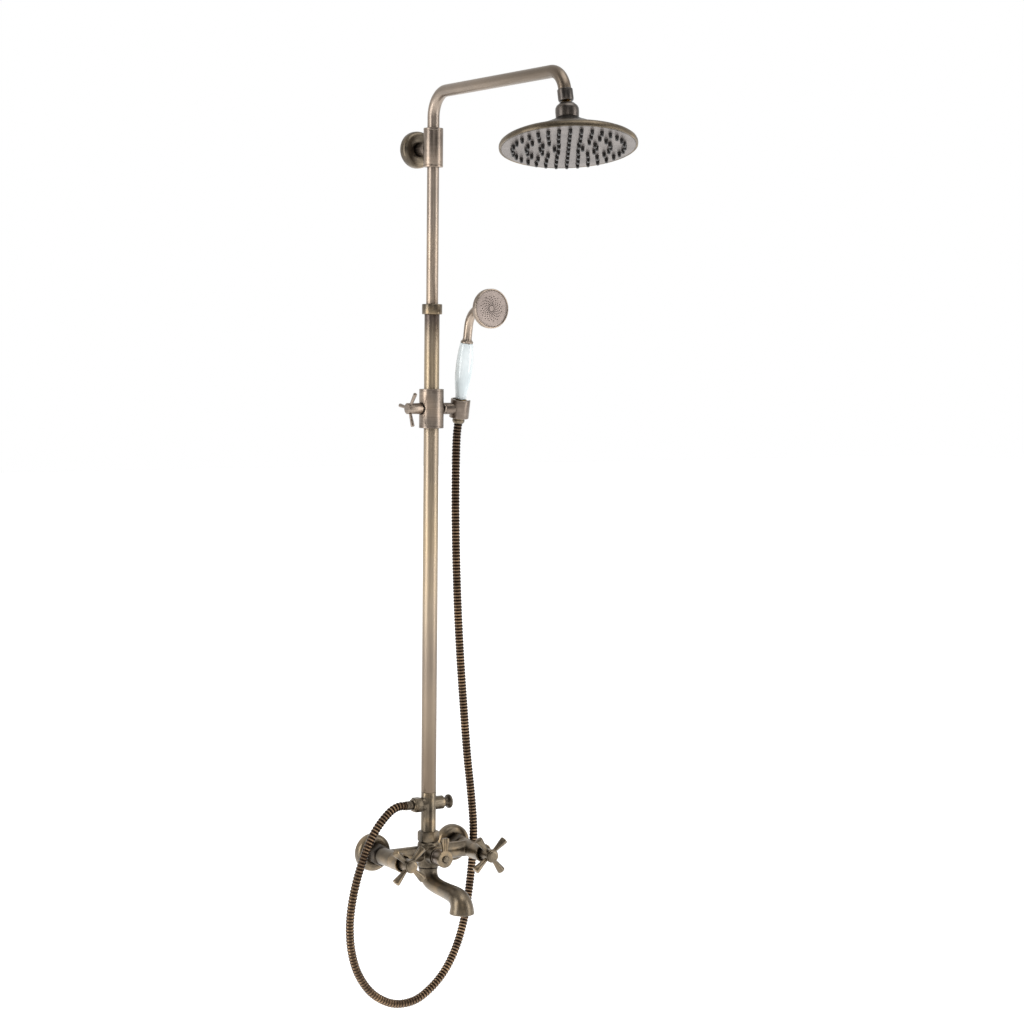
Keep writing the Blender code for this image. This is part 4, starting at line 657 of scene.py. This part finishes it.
def bracket():
    where = at(0.0, 0.0, BRACKET_Z, OUT)
    rosette = lathe("bracket_rosette", [(9.8, 12.2), (11.5, 13.2), (16.0, 14.0), (21.5, 14.0), (24.8, 13.3),
                                        (27.1, 11.8), (28.5, 9.4), (29.1, 6.4), (29.2, 2.4), (29.2, 0.0),
                                        (28.0, 0.0), (28.0, 6.4), (24.2, 11.8), (9.8, 11.0)], where,
                    ring=True, sides=96)
    soften(rosette, 0.3, 2, 40.0)
    keep(rosette, "wall_frame", "cast", "bracket_rosette")
    post = lathe("bracket_post", [(9.5, 37.6), (9.5, 5.3)], where)
    soften(post)
    keep(post, "wall_frame", "turned", "bracket_post")
    low, high = heights("bracket_sleeve")
    sleeve = lathe("bracket_sleeve", [(15.1, high), (15.5, high - 0.4), (15.5, high - 3.4),
                                      (15.2, high - 3.6), (15.2, high - 3.9), (15.5, high - 4.1),
                                      (15.5, low + 4.1), (15.2, low + 3.9), (15.2, low + 3.6),
                                      (15.5, low + 3.4), (15.5, low + 0.4), (15.1, low), (9.8, low),
                                      (9.8, high)], COLUMN, ring=True, sides=80)
    hole = lathe("grub_hole", [(2.8, 30.0), (2.8, 12.0)], at(0.0, COLUMN_Y, BRACKET_Z, RIGHT), sides=24)
    merge_in(sleeve, hole, "DIFFERENCE")
    soften(sleeve, 0.2)
    keep(sleeve, "wall_frame", "turned", "bracket_sleeve")


# ---- riser and arm ----

def riser():
    low, high = heights("riser_lower")
    tube = lathe("riser_lower", [(12.0, high), (12.0, low), (10.8, low), (10.8, high)], COLUMN, ring=True,
                 sides=80)
    soften(tube, 0.3)
    keep(tube, "wall_frame", "riser", "riser_lower")
    low, high = heights("riser_lock_collar")
    collar = lathe("riser_lock_collar", [(15.3, high), (16.0, high - 0.7), (16.0, low + 0.7), (15.3, low),
                                         (12.3, low), (12.3, high - 3.0), (9.8, high - 3.0), (9.8, high)],
                   COLUMN, ring=True, sides=80)
    soften(collar, 0.25)
    keep(collar, "wall_frame", "fitting", "riser_lock_collar")


def arm():
    """The upper pipe: straight up, bent towards the room, and bent down again at its end."""
    reach, crown = 328.0 * MM, 1208.9 * MM
    inner_bend, outer_bend = 38.0 * MM, 37.0 * MM
    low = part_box("riser_upper")[0].z
    pipe = open_circle("riser_upper", 9.5 * MM, (0.0, COLUMN_Y, low), 64)
    bpy.ops.mesh.extrude_region_move(TRANSFORM_OT_translate={"value": (0.0, 0.0, crown - inner_bend - low)})
    bpy.ops.mesh.spin(steps=18, angle=math.radians(-90.0), axis=(1.0, 0.0, 0.0),
                      center=(0.0, COLUMN_Y - inner_bend, crown - inner_bend))
    bpy.ops.mesh.extrude_region_move(TRANSFORM_OT_translate={"value": (0.0, inner_bend - reach, 0.0)})
    bpy.ops.mesh.spin(steps=16, angle=math.radians(-TIP_BEND), axis=(1.0, 0.0, 0.0),
                      center=(0.0, COLUMN_Y - reach, crown - outer_bend))
    onward = TIP.to_3x3() @ Vector((0.0, 0.0, -6.6 * MM))
    bpy.ops.mesh.extrude_region_move(TRANSFORM_OT_translate={"value": onward})
    close_ends()
    soften(pipe, 0.0)
    keep(pipe, "gooseneck", "arm", "riser_upper")


# ---- rain head ----

NOZZLE_RINGS, NOZZLES_PER_RING, NOZZLE_FIELD = 4, 8, 80.8
HEAD_FACE = -57.5


def nozzle_places():
    """A middle nozzle and rings round it, each ring with eight more than the last."""
    places = [(0.0, 0.0)]
    for ring in range(1, NOZZLE_RINGS + 1):
        for n in range(ring * NOZZLES_PER_RING):
            angle = math.tau * n / (ring * NOZZLES_PER_RING)
            radius = NOZZLE_FIELD * ring / NOZZLE_RINGS
            places.append((radius * math.cos(angle) * MM, radius * math.sin(angle) * MM))
    return places


def rain_head():
    ferrule = lathe("arm_ferrule", [(10.7, 29.3), (11.3, 28.5), (11.3, 14.6), (10.6, 12.0), (9.6, 11.4),
                                    (7.4, 11.4), (7.4, 21.8), (9.8, 21.8), (9.8, 29.3)], TIP, ring=True)
    soften(ferrule, 0.3)
    keep(ferrule, "gooseneck", "gunmetal", "arm_ferrule")
    nut = lathe("swivel_nut", [(8.4, 8.2), (10.8, 8.2), (15.6, 3.6), (17.0, 0.4), (17.2, -4.8), (16.6, -14.0),
                               (14.1, -14.0), (14.1, 0.0), (10.5, 0.0), (10.0, 3.2), (7.4, 7.5)], HEAD,
                ring=True, sides=80)
    soften(nut, 0.5, 3, 18.0)
    keep(nut, "rain_head", "gunmetal", "swivel_nut")
    bell = [(17.2, 43.2), (18.6, 42.3), (21.5, 40.2), (26.0, 37.8), (32.0, 35.0), (42.0, 30.5), (52.0, 26.2),
            (62.0, 22.3), (72.0, 18.7), (80.0, 15.9), (87.0, 13.5), (92.0, 11.7), (96.0, 9.8), (98.8, 7.6),
            (100.0, 5.0), (100.2, 2.4), (100.0, 0.5), (99.4, 0.0), (97.2, 0.0), (96.9, 0.4), (96.9, 4.3),
            (84.0, 12.4), (42.0, 28.0)]
    outline = [(13.8, -0.6), (13.8, -14.3)] + [(radius, HEAD_FACE + height) for radius, height in bell]
    shell = lathe("head_shell", outline + [(5.0, -20.3), (5.0, -8.7), (10.3, -0.6)], HEAD, ring=True,
                  sides=144)
    soften(shell, 0.25, 2, 40.0)
    keep(shell, "rain_head", "bell", "head_shell")
    plate = lathe("head_face_plate", [(96.7, HEAD_FACE + 1.2), (96.7, HEAD_FACE)], HEAD, sides=144)
    hole = lathe("nozzle_hole", [(3.1, HEAD_FACE + 3.0), (3.1, HEAD_FACE - 2.0)],
                 Matrix.Identity(4), sides=12)
    holes = copies(hole, [HEAD @ at(x, y, 0.0) for x, y in nozzle_places()])
    merge_in(plate, holes, "DIFFERENCE")
    soften(plate, 0.0)
    keep(plate, "rain_head", "plate", "head_face_plate")
    tip = HEAD_FACE - 6.8
    nozzle = lathe("nozzles", [(2.9, HEAD_FACE + 2.0), (2.9, HEAD_FACE - 0.4), (2.8, HEAD_FACE - 1.6),
                               (2.6, HEAD_FACE - 4.0), (2.4, tip + 1.0), (1.8, tip), (0.7, tip),
                               (0.6, tip + 1.0)], Matrix.Identity(4), sides=14)
    soften(nozzle, 0.0)
    mat = lathe("mat", [(93.0, HEAD_FACE + 3.5), (93.0, HEAD_FACE + 1.5)], HEAD, sides=72)
    nozzles = copies(nozzle, [HEAD @ at(x, y, 0.0) for x, y in nozzle_places()])
    join(nozzles, mat)
    keep(nozzles, "rain_head", "nozzle", "head_nozzle_mat")


# ---- slider and holder ----

def slider():
    low, high = heights("slider_sleeve")
    sleeve = lathe("slider_sleeve", [(18.9, high), (19.5, high - 0.5), (19.5, high - 3.0),
                                     (19.25, high - 3.2),
                                     (19.25, high - 3.5), (19.5, high - 3.7), (19.5, low + 3.7),
                                     (19.25, low + 3.5), (19.25, low + 3.2), (19.5, low + 3.0),
                                     (19.5, low + 0.5), (18.9, low), (14.6, low), (14.6, high)], COLUMN,
                   ring=True, sides=96)
    across = at(0.0, COLUMN_Y, KNOB_Z, RIGHT)
    merge_in(sleeve, lathe("screw_hole", [(4.3, 30.0), (4.3, -30.0)], across, sides=24), "DIFFERENCE")
    groove = lathe("stem_groove", [(9.9, -16.0), (9.9, -25.0), (8.9, -25.0), (8.9, -16.0)], across,
                   ring=True, sides=48)
    merge_in(sleeve, groove, "DIFFERENCE")
    soften(sleeve, 0.0)
    keep(sleeve, "slider", "turned", "slider_sleeve")
    stem = lathe("slider_clamp_knob", [(7.6, 45.5), (8.8, 44.5), (8.8, 19.8), (4.0, 19.8), (4.0, 14.9)],
                 at(0.0, COLUMN_Y, KNOB_Z, LEFT), sides=48)
    for degrees in (38.0, 159.0, 279.0):
        angle = math.radians(degrees)
        way = Vector((0.0, -math.sin(angle), math.cos(angle)))
        root = frame_along((-40.5 * MM, COLUMN_Y, KNOB_Z), way)
        merge_in(stem, lathe("pin", [(2.1, 30.0), (3.1, 29.0), (2.4, 8.8), (2.4, 4.0)], root, sides=24))
    soften(stem, 0.3)
    keep(stem, "clamp_knob", "turned", "slider_clamp_knob")
    pivot = lathe("holder_pivot", [(4.0, 36.5), (4.0, 24.0), (9.2, 24.0), (9.2, 19.8), (4.0, 19.8),
                                   (4.0, 14.9)], across, sides=48)
    soften(pivot, 0.3)
    keep(pivot, "slider", "turned", "holder_pivot")


def holder_cup():
    cup = lathe("holder_cup", [(15.0, 15.0), (15.7, 14.4), (15.7, -14.4), (15.0, -15.0)], CUP, sides=80)
    boss = lathe("boss", [(9.2, 46.0), (9.2, 24.3), (4.3, 24.3), (4.3, 36.9)],
                 at(0.0, COLUMN_Y, KNOB_Z, RIGHT), sides=48)
    merge_in(cup, boss)
    merge_in(cup, lathe("bore", [(13.1, 19.0), (9.9, -19.0)], CUP, sides=80), "DIFFERENCE")
    deselect()
    bpy.ops.mesh.primitive_cube_add(size=1.0)
    slot = bpy.context.object
    slot.scale = (15.7 * MM, 14.5 * MM, 45.0 * MM)
    freeze()
    settle(slot, CUP @ at(12.6 * MM, 0.0, 0.0))
    merge_in(cup, slot, "DIFFERENCE")
    soften(cup, 0.4)
    keep(cup, "holder", "turned", "holder_cup")


# ---- handset ----

HANDLE_RADII = (8.9, 9.4, 10.1, 11.0, 11.8, 12.5, 13.0, 13.4,
                13.6, 13.6, 13.5, 13.3, 13.0, 12.6, 12.0, 11.2, 10.2)
NECK_BEND = 33.0
SPRAY_RINGS, SPRAY_ARMS, SPRAY_CURL = 7, 16, 0.16


def handset():
    low, high = 16.0, 106.0
    step = (high - low) / (len(HANDLE_RADII) - 1)
    outline = [(radius, low + n * step) for n, radius in enumerate(HANDLE_RADII)]
    handle = lathe("handset_handle", outline[::-1] + [(4.6, low), (4.6, high)], CUP, ring=True, sides=80)
    soften(handle, 0.5, 3, 50.0)
    keep(handle, "handset", "porcelain", "handset_handle")
    neck()
    face_centre = middle("handset_face")
    axis = at(HOLDER.x, 0.0, face_centre.z, OUT)
    shell = lathe("handset_shell", [(7.0, 113.7), (7.6, 116.0), (10.5, 122.0), (16.5, 128.2), (24.0, 132.8),
                                    (28.6, 135.4), (31.0, 138.4), (31.0, 145.4), (30.4, 146.6), (29.4, 147.0),
                                    (28.7, 146.4), (28.5, 145.4), (28.5, 140.0),
                                     (23.0, 134.1), (15.0, 129.5), (8.5, 122.0),
                                    (5.2, 113.7)], axis, ring=True, sides=96)
    soften(shell, 0.5, 3, 28.0)
    keep(shell, "handset", "rubbed", "handset_shell")
    plate = lathe("handset_face", [(26.6, 145.1), (27.2, 145.6), (28.1, 145.6), (28.2, 144.0)],
                  axis, sides=96)
    pin = lathe("spray_hole", [(0.88, 149.0), (0.88, 142.0)], Matrix.Identity(4), sides=8)
    holes = copies(pin, [axis @ at(x * MM, y * MM, 0.0) for x, y in spray_places()])
    merge_in(plate, holes, "DIFFERENCE")
    soften(plate, 0.0)
    keep(plate, "handset", "spray plate", "handset_face")


def spray_places():
    """Spray holes on sixteen arms that curl outwards."""
    places = []
    for ring in range(SPRAY_RINGS):
        radius = 5.0 + 2.4 * ring
        for n in range(SPRAY_ARMS):
            angle = math.tau * n / SPRAY_ARMS + ring * SPRAY_CURL
            places.append((radius * math.cos(angle), radius * math.sin(angle)))
    return places


def neck():
    """Up from the handle's collar and forward in one bend."""
    profile = [(9.6, 106.3), (10.1, 106.8), (10.1, 108.2), (9.0, 109.6),
               (7.6, 111.4), (7.0, 113.4), (7.0, 133.0)]
    pipe = open_circle("handset_neck", profile[0][0] * MM, (0.0, 0.0, profile[0][1] * MM), 56)
    pull_up(profile)
    turn = 90.0 - CUP_LEAN
    bpy.ops.mesh.spin(steps=16, angle=math.radians(-turn), axis=(1.0, 0.0, 0.0),
                      center=(0.0, -NECK_BEND * MM, profile[-1][1] * MM))
    onward = CUP.to_3x3().inverted() @ Vector((0.0, -3.0 * MM, 0.0))
    bpy.ops.mesh.extrude_region_move(TRANSFORM_OT_translate={"value": onward})
    close_ends()
    settle(pipe, CUP)
    soften(pipe, 0.0)
    keep(pipe, "handset", "neck", "handset_neck")


# ---- tee, diverter and union ----

def tee():
    low, high = 28.4, 98.5
    body = lathe("tee_body", [(10.5, high + 12.0), (10.5, high), (11.7, high),
                             (12.0, high - 0.3), (12.0, low + 3.2),
                              (13.2, low + 3.2), (13.2, low)], COLUMN, sides=80)
    to_left = at(0.0, COLUMN_Y, BRANCH_Z, LEFT)
    to_right = at(0.0, COLUMN_Y, BRANCH_Z, RIGHT)
    merge_in(body, lathe("outlet", [(8.5, 26.2), (8.5, 15.5), (10.2, 15.5),
                                    (10.8, 14.9), (10.8, 1.0)], to_left))
    merge_in(body, lathe("boss", [(10.2, 25.8), (10.8, 25.2), (10.8, 1.0)], to_right))
    soften(body, 0.5, 2, 40.0)
    keep(body, "wall_frame", "fitting", "tee_body")
    knob = lathe("diverter_knob", [(10.0, 39.9), (10.8, 39.6), (11.2, 38.8), (11.2, 36.4), (10.4, 35.2),
                                   (8.0, 33.6), (7.0, 31.6), (7.0, 26.1), (3.3, 26.1), (3.3, 33.1)],
                   to_right)
    soften(knob, 0.3, 3, 20.0)
    keep(knob, "diverter", "dark", "diverter_knob")
    nut = hexagon("column_union_nut", 30.0, 19.4, 35.9, COLUMN, 1.3)
    merge_in(nut, lathe("nut_bore", [(12.3, 42.0), (12.3, 31.7), (13.5, 31.7), (13.5, 10.0)], COLUMN),
             "DIFFERENCE")
    soften(nut, 0.35)
    keep(nut, "wall_frame", "fitting", "column_union_nut")


# ---- mixer ----

HANDLE_REST = {"left": 46.5, "right": 39.0}     # degrees that each cross is turned at rest


def mixer():
    """One casting: the cross tube, two barrels, the middle core and the selector's boss."""
    body = lathe("mixer_body", [(13.2, 26.2), (13.2, 19.2), (15.0, 18.8), (16.8, 17.2), (17.5, 14.0),
                                (17.5, -19.0), (16.6, -21.8), (15.4, -22.5)], COLUMN, sides=64)
    across = at(0.0, COLUMN_Y, 0.0, RIGHT)
    merge_in(body, lathe("tube", [(13.0, 75.0), (13.0, -75.0)], across, sides=64))
    front = at(0.0, 0.0, SELECTOR_Z, OUT)
    merge_in(body, lathe("selector_boss", [(14.4, 83.9), (14.4, 53.0)], front))
    for side, x in VALVES.items():
        where = at(x, 0.0, 0.0, OUT)
        merge_in(body, lathe("barrel", [(13.5, 76.9), (13.5, 37.0), (10.4, 36.2), (10.4, 28.4)], where))
    cast_together(body, 0.75, 5)
    ring = lathe("boss_ring", [(15.2, 84.0), (15.5, 83.6), (15.5, 81.2), (15.0, 80.6),
                               (13.0, 80.6), (13.0, 84.0)],
                 front, ring=True)
    join(body, ring)
    keep(body, "wall_frame", "cast", "mixer_body")


def wall_inlet(side, x):
    where = at(x, 0.0, 0.0, OUT)
    plate = lathe(f"escutcheon_{side}", [(13.3, 13.4), (15.0, 14.2), (18.5, 14.9), (22.5, 15.0), (25.6, 14.4),
                                         (27.8, 12.9), (29.2, 10.6), (29.9, 7.4), (30.0, 2.4), (30.0, 0.0),
                                         (28.8, 0.0), (28.8, 7.0), (25.2, 12.6), (13.3, 12.2)], where,
                  ring=True, sides=96)
    soften(plate, 0.3, 2, 40.0)
    keep(plate, "wall_frame", "cast", f"escutcheon_{side}")
    nut = hexagon(f"union_nut_{side}", 30.5, 15.6, 36.0, where, 1.4)
    merge_in(nut, lathe("bore", [(10.7, 40.0), (10.7, 31.4), (13.3, 31.4), (13.3, 10.0)], where),
             "DIFFERENCE")
    soften(nut, 0.3)
    keep(nut, "wall_frame", "dark", f"union_nut_{side}")


def valve(side, x, rest):
    where = at(x, 0.0, 0.0, OUT)
    shroud = lathe(f"valve_shroud_{side}", [(14.5, 102.0), (14.8, 101.7), (14.8, 99.6),
                   (14.2, 99.0), (14.2, 77.8),
                                            (13.7, 77.3), (12.4, 77.3), (12.4, 102.0)], where, ring=True)
    soften(shroud, 0.25)
    keep(shroud, "wall_frame", "cast", f"valve_shroud_{side}")
    hub = lathe(f"cross_handle_{side}", [(10.2, 128.5), (10.8, 127.9), (10.8, 125.8),
                (10.0, 125.0), (10.0, 103.0),
                                         (9.2, 100.4), (8.6, 100.0)], where, sides=56)
    for n in range(4):
        angle = math.radians(rest + 90.0 * n)
        root = frame_along((x, -120.5 * MM, 0.0), (math.cos(angle), 0.0, math.sin(angle)), (0.0, -1.0, 0.0))
        spoke = lathe("spoke", [(4.6, 35.5), (6.0, 34.9), (6.3, 33.6), (5.6, 28.0), (4.4, 20.0), (3.5, 12.5),
                                (3.3, 6.0)], root, sides=32)
        merge_in(hub, spoke)
    soften(hub, 0.35, 3, 24.0)
    keep(hub, f"{side}_handle", "fitting", f"cross_handle_{side}")
    cap = lathe(f"handle_cap_{side}", [(5.8, 132.0), (8.4, 131.5), (9.6, 130.4), (9.6, 128.8)], where)
    soften(cap, 0.3, 3, 10.0)
    keep(cap, f"{side}_handle", "fitting", f"handle_cap_{side}")


# ---- selector ----

LEVER_FACE = 107.2          # from the wall to the front of the lever's hub


def selector():
    front = at(0.0, 0.0, SELECTOR_Z, OUT)
    bonnet = lathe("selector_bonnet", [(12.3, 102.0), (12.8, 101.5), (12.8, 86.4), (12.2, 85.6), (12.2, 84.9),
                                       (12.8, 84.3), (10.7, 84.3), (10.7, 76.3)], front)
    soften(bonnet, 0.25)
    keep(bonnet, "wall_frame", "turned", "selector_bonnet")
    hub = lathe("selector_lever", [(6.4, LEVER_FACE), (13.0, LEVER_FACE), (13.6, 106.5),
                                   (13.6, 102.3), (3.3, 102.3),
                                   (3.3, 105.4), (6.4, 105.4)], front, ring=True)
    merge_in(hub, lever_paddle(front))
    soften(hub, 0.35, 2, 35.0)
    keep(hub, "selector_lever", "fitting", "selector_lever")
    button = lathe("selector_screw", [(4.0, 110.2), (5.0, 109.3), (5.0, 105.6)], front, sides=40)
    soften(button, 0.4, 3, 20.0)
    keep(button, "selector_lever", "fitting", "selector_screw")


def lever_paddle(front):
    """A flat paddle with a waist, a wide tip and two long grooves, standing straight up."""
    widths = ((9.0, 9.6), (15.0, 8.2), (22.0, 7.8), (28.0, 8.6), (33.0, 11.0), (36.0, 13.4), (38.6, 14.2),
              (41.2, 12.8), (42.8, 8.4))
    thick = 4.4
    deselect()
    bpy.ops.mesh.primitive_plane_add(size=1.0)
    paddle = bpy.context.object
    paddle.scale = (widths[0][1] * MM, thick * MM, 1.0)
    freeze()
    bpy.ops.object.mode_set(mode="EDIT")
    bpy.ops.mesh.select_all(action="SELECT")
    for (height, width), (next_height, next_width) in zip(widths, widths[1:]):
        bpy.ops.mesh.extrude_region_move(
            TRANSFORM_OT_translate={"value": (0.0, 0.0, (next_height - height) * MM)})
        bpy.ops.transform.resize(value=(next_width / width, 1.0, 1.0), center_override=(0.0, 0.0, 0.0))
    face_outwards()
    bpy.ops.object.mode_set(mode="OBJECT")
    for across in (-1.9, 1.9):
        groove = lathe("groove", [(0.7, 37.5), (1.3, 36.0), (1.0, 24.0), (0.9, 8.0)],
                       at(across * MM, -thick / 2.0 * MM, 0.0), sides=16)
        merge_in(paddle, groove, "DIFFERENCE")
    middle_depth = LEVER_FACE - thick / 2.0 - 0.3
    return settle(paddle, front @ at(0.0, 0.0, middle_depth * MM, turn_x(-90.0)))


# ---- spout ----

def spout():
    """Down from the body, forward and into a round nozzle, all one casting."""
    arm_rows = ((0.0, -23.4, 15.0), (0.0, -29.5, 15.0), (-1.5, -36.0, 14.7), (-7.0, -42.6, 13.8),
                (-17.0, -47.0, 13.0), (-35.0, -49.6, 12.3), (-60.0, -50.8, 12.8), (-80.0, -52.0, 14.0),
                (-92.0, -54.6, 15.8), (-99.5, -60.0, 17.2), (-103.0, -66.0, 18.2), (-103.5, -72.0, 19.2),
                (-103.5, -76.0, 19.8))
    curve = bpy.data.curves.new("spout", "CURVE")
    curve.dimensions = "3D"
    curve.bevel_depth = MM
    curve.bevel_resolution = 14
    curve.use_fill_caps = True
    curve.resolution_u = 8
    spline = curve.splines.new("NURBS")
    spline.points.add(len(arm_rows) - 1)
    spline.use_endpoint_u = True
    spline.order_u = 4
    for knot, (y, z, radius) in zip(spline.points, arm_rows):
        knot.co = (0.0, COLUMN_Y + y * MM, z * MM, 1.0)
        knot.radius = radius
    body = bpy.data.objects.new("spout", curve)
    into_scene(body)
    activate(body)
    bpy.ops.object.convert(target="MESH")
    body = bpy.context.object
    nozzle_axis = at(0.0, middle("aerator").y, 0.0)
    nozzle = lathe("nozzle", [(12.0, -56.0), (15.6, -62.0), (18.0, -68.0), (20.0, -76.8), (19.7, -78.0)],
                   nozzle_axis)
    merge_in(body, nozzle)
    cast_together(body, 0.7, 22)
    mouth = lathe("mouth", [(10.5, -54.0), (10.5, -66.7), (15.3, -66.7), (15.3, -90.0)], nozzle_axis)
    merge_in(body, mouth, "DIFFERENCE")
    soften(body, 0.0)
    joint = lathe("neck_ring", [(14.2, -23.2), (15.6, -23.6), (15.6, -25.2), (14.2, -25.6)], COLUMN)
    join(body, joint)
    keep(body, "spout", "cast", "spout")
    aerator = lathe("aerator", [(14.6, -68.0), (15.0, -68.4), (15.0, -76.6), (14.4, -77.0), (11.2, -77.0),
                                (10.5, -76.2), (10.5, -68.0)], nozzle_axis, ring=True)
    soften(aerator, 0.2)
    keep(aerator, "spout", "acetal", "aerator")


# ---- CAD nodes that show as they are ----

INNER = {
    "bare brass": ("ball_stud", "handset_tail", "diverter_spindle",
                   "eccentric_union_left", "eccentric_union_right",
                   "valve_headwork_left", "valve_headwork_right", "valve_spindle_left", "valve_spindle_right",
                   "selector_spindle"),
    "acetal": ("riser_guide_bush", "ball_seat_ring", "slider_liner"),
    "rubber": ("riser_gland_seal", "ball_seal_cup", "column_union_washer"),
    "stainless": ("bracket_wall_plate", "bracket_grub_screw"),
}


def inner_pieces():
    for finish, nodes in INNER.items():
        for node in nodes:
            slots = frame["nodes"][node].material_slots
            for n in range(len(slots)):
                slots[n].material = MATERIALS[finish]


# ---- studio ----

def studio():
    """A pale floor well below, a white room that is dimmer behind the camera, and four soft boxes."""
    deselect()
    bpy.ops.mesh.primitive_plane_add(size=60.0, location=(0.0, 0.0, -0.95))
    floor = bpy.context.object
    floor.name = "floor"
    material, tree, shader = new_material("pale floor paint")
    place = add(tree, "ShaderNodeTexCoord").outputs["Object"]
    speck = add(tree, "ShaderNodeTexNoise", {"Scale": 3.0, "Detail": 2.0}, {"Vector": place})
    tree.links.new(ramp(tree, speck.outputs["Fac"], ((0.3, "#f6f6f6"), (0.7, "#fafafa"))),
                   shader.inputs["Base Color"])
    shader.inputs["Roughness"].default_value = 0.8
    shader.inputs["Emission Color"].default_value = colour("#ffffff")
    shader.inputs["Emission Strength"].default_value = 0.72
    floor.data.materials.append(material)
    world = bpy.data.worlds.new("white room")
    world.use_nodes = True
    bpy.context.scene.world = world
    tree = world.node_tree
    tree.nodes.clear()
    way = add(tree, "ShaderNodeTexCoord").outputs["Generated"]
    front = add(tree, "ShaderNodeVectorMath", {"operation": "DOT_PRODUCT", 1: (-0.55, -0.83, -0.15)},
                {0: way})
    fall = add(tree, "ShaderNodeMapRange", {"interpolation_type": "SMOOTHSTEP", "From Min": -0.45,
                                             "From Max": 0.75, "To Min": 1.0, "To Max": 0.16},
               {"Value": front.outputs["Value"]})
    room = add(tree, "ShaderNodeBackground", {"Color": colour("#efedea")}, {"Strength": fall.outputs[0]})
    bright = add(tree, "ShaderNodeBackground", {"Color": colour("#ffffff"), "Strength": 1.0})
    ray = add(tree, "ShaderNodeLightPath")
    pick = add(tree, "ShaderNodeMixShader", {}, {0: ray.outputs["Is Camera Ray"], 1: room.outputs[0],
                                                 2: bright.outputs[0]})
    add(tree, "ShaderNodeOutputWorld", {}, {"Surface": pick.outputs[0]})
    for name, where, size, power in (
            ("left soft box", (-3.2, 0.2, 1.0), (1.4, 3.0), 62.0),
            ("right soft box", (2.3, -2.5, 1.0), (1.2, 3.0), 42.0),
            ("front soft box", (-1.9, -4.2, 2.4), (1.2, 1.2), 9.0),
            ("top soft box", (0.3, -1.2, 3.2), (2.4, 1.6), 34.0)):
        lamp = bpy.data.lights.new(name, "AREA")
        lamp.shape = "RECTANGLE"
        lamp.size, lamp.size_y = size
        lamp.energy = power
        box = bpy.data.objects.new(name, lamp)
        into_scene(box)
        aim = Vector((0.0, -0.1, 0.55)) - Vector(where)
        box.matrix_world = Matrix.Translation(where) @ aim.to_track_quat("-Z", "Y").to_matrix().to_4x4()
    bpy.context.scene.view_settings.view_transform = "Standard"


# ---- the whole column ----

camera()
hose(hose_fittings())
bracket()
riser()
arm()
rain_head()
slider()
holder_cup()
handset()
tee()
mixer()
for side_name, side_x in VALVES.items():
    wall_inlet(side_name, side_x)
    valve(side_name, side_x, HANDLE_REST[side_name])
selector()
spout()
inner_pieces()
studio()
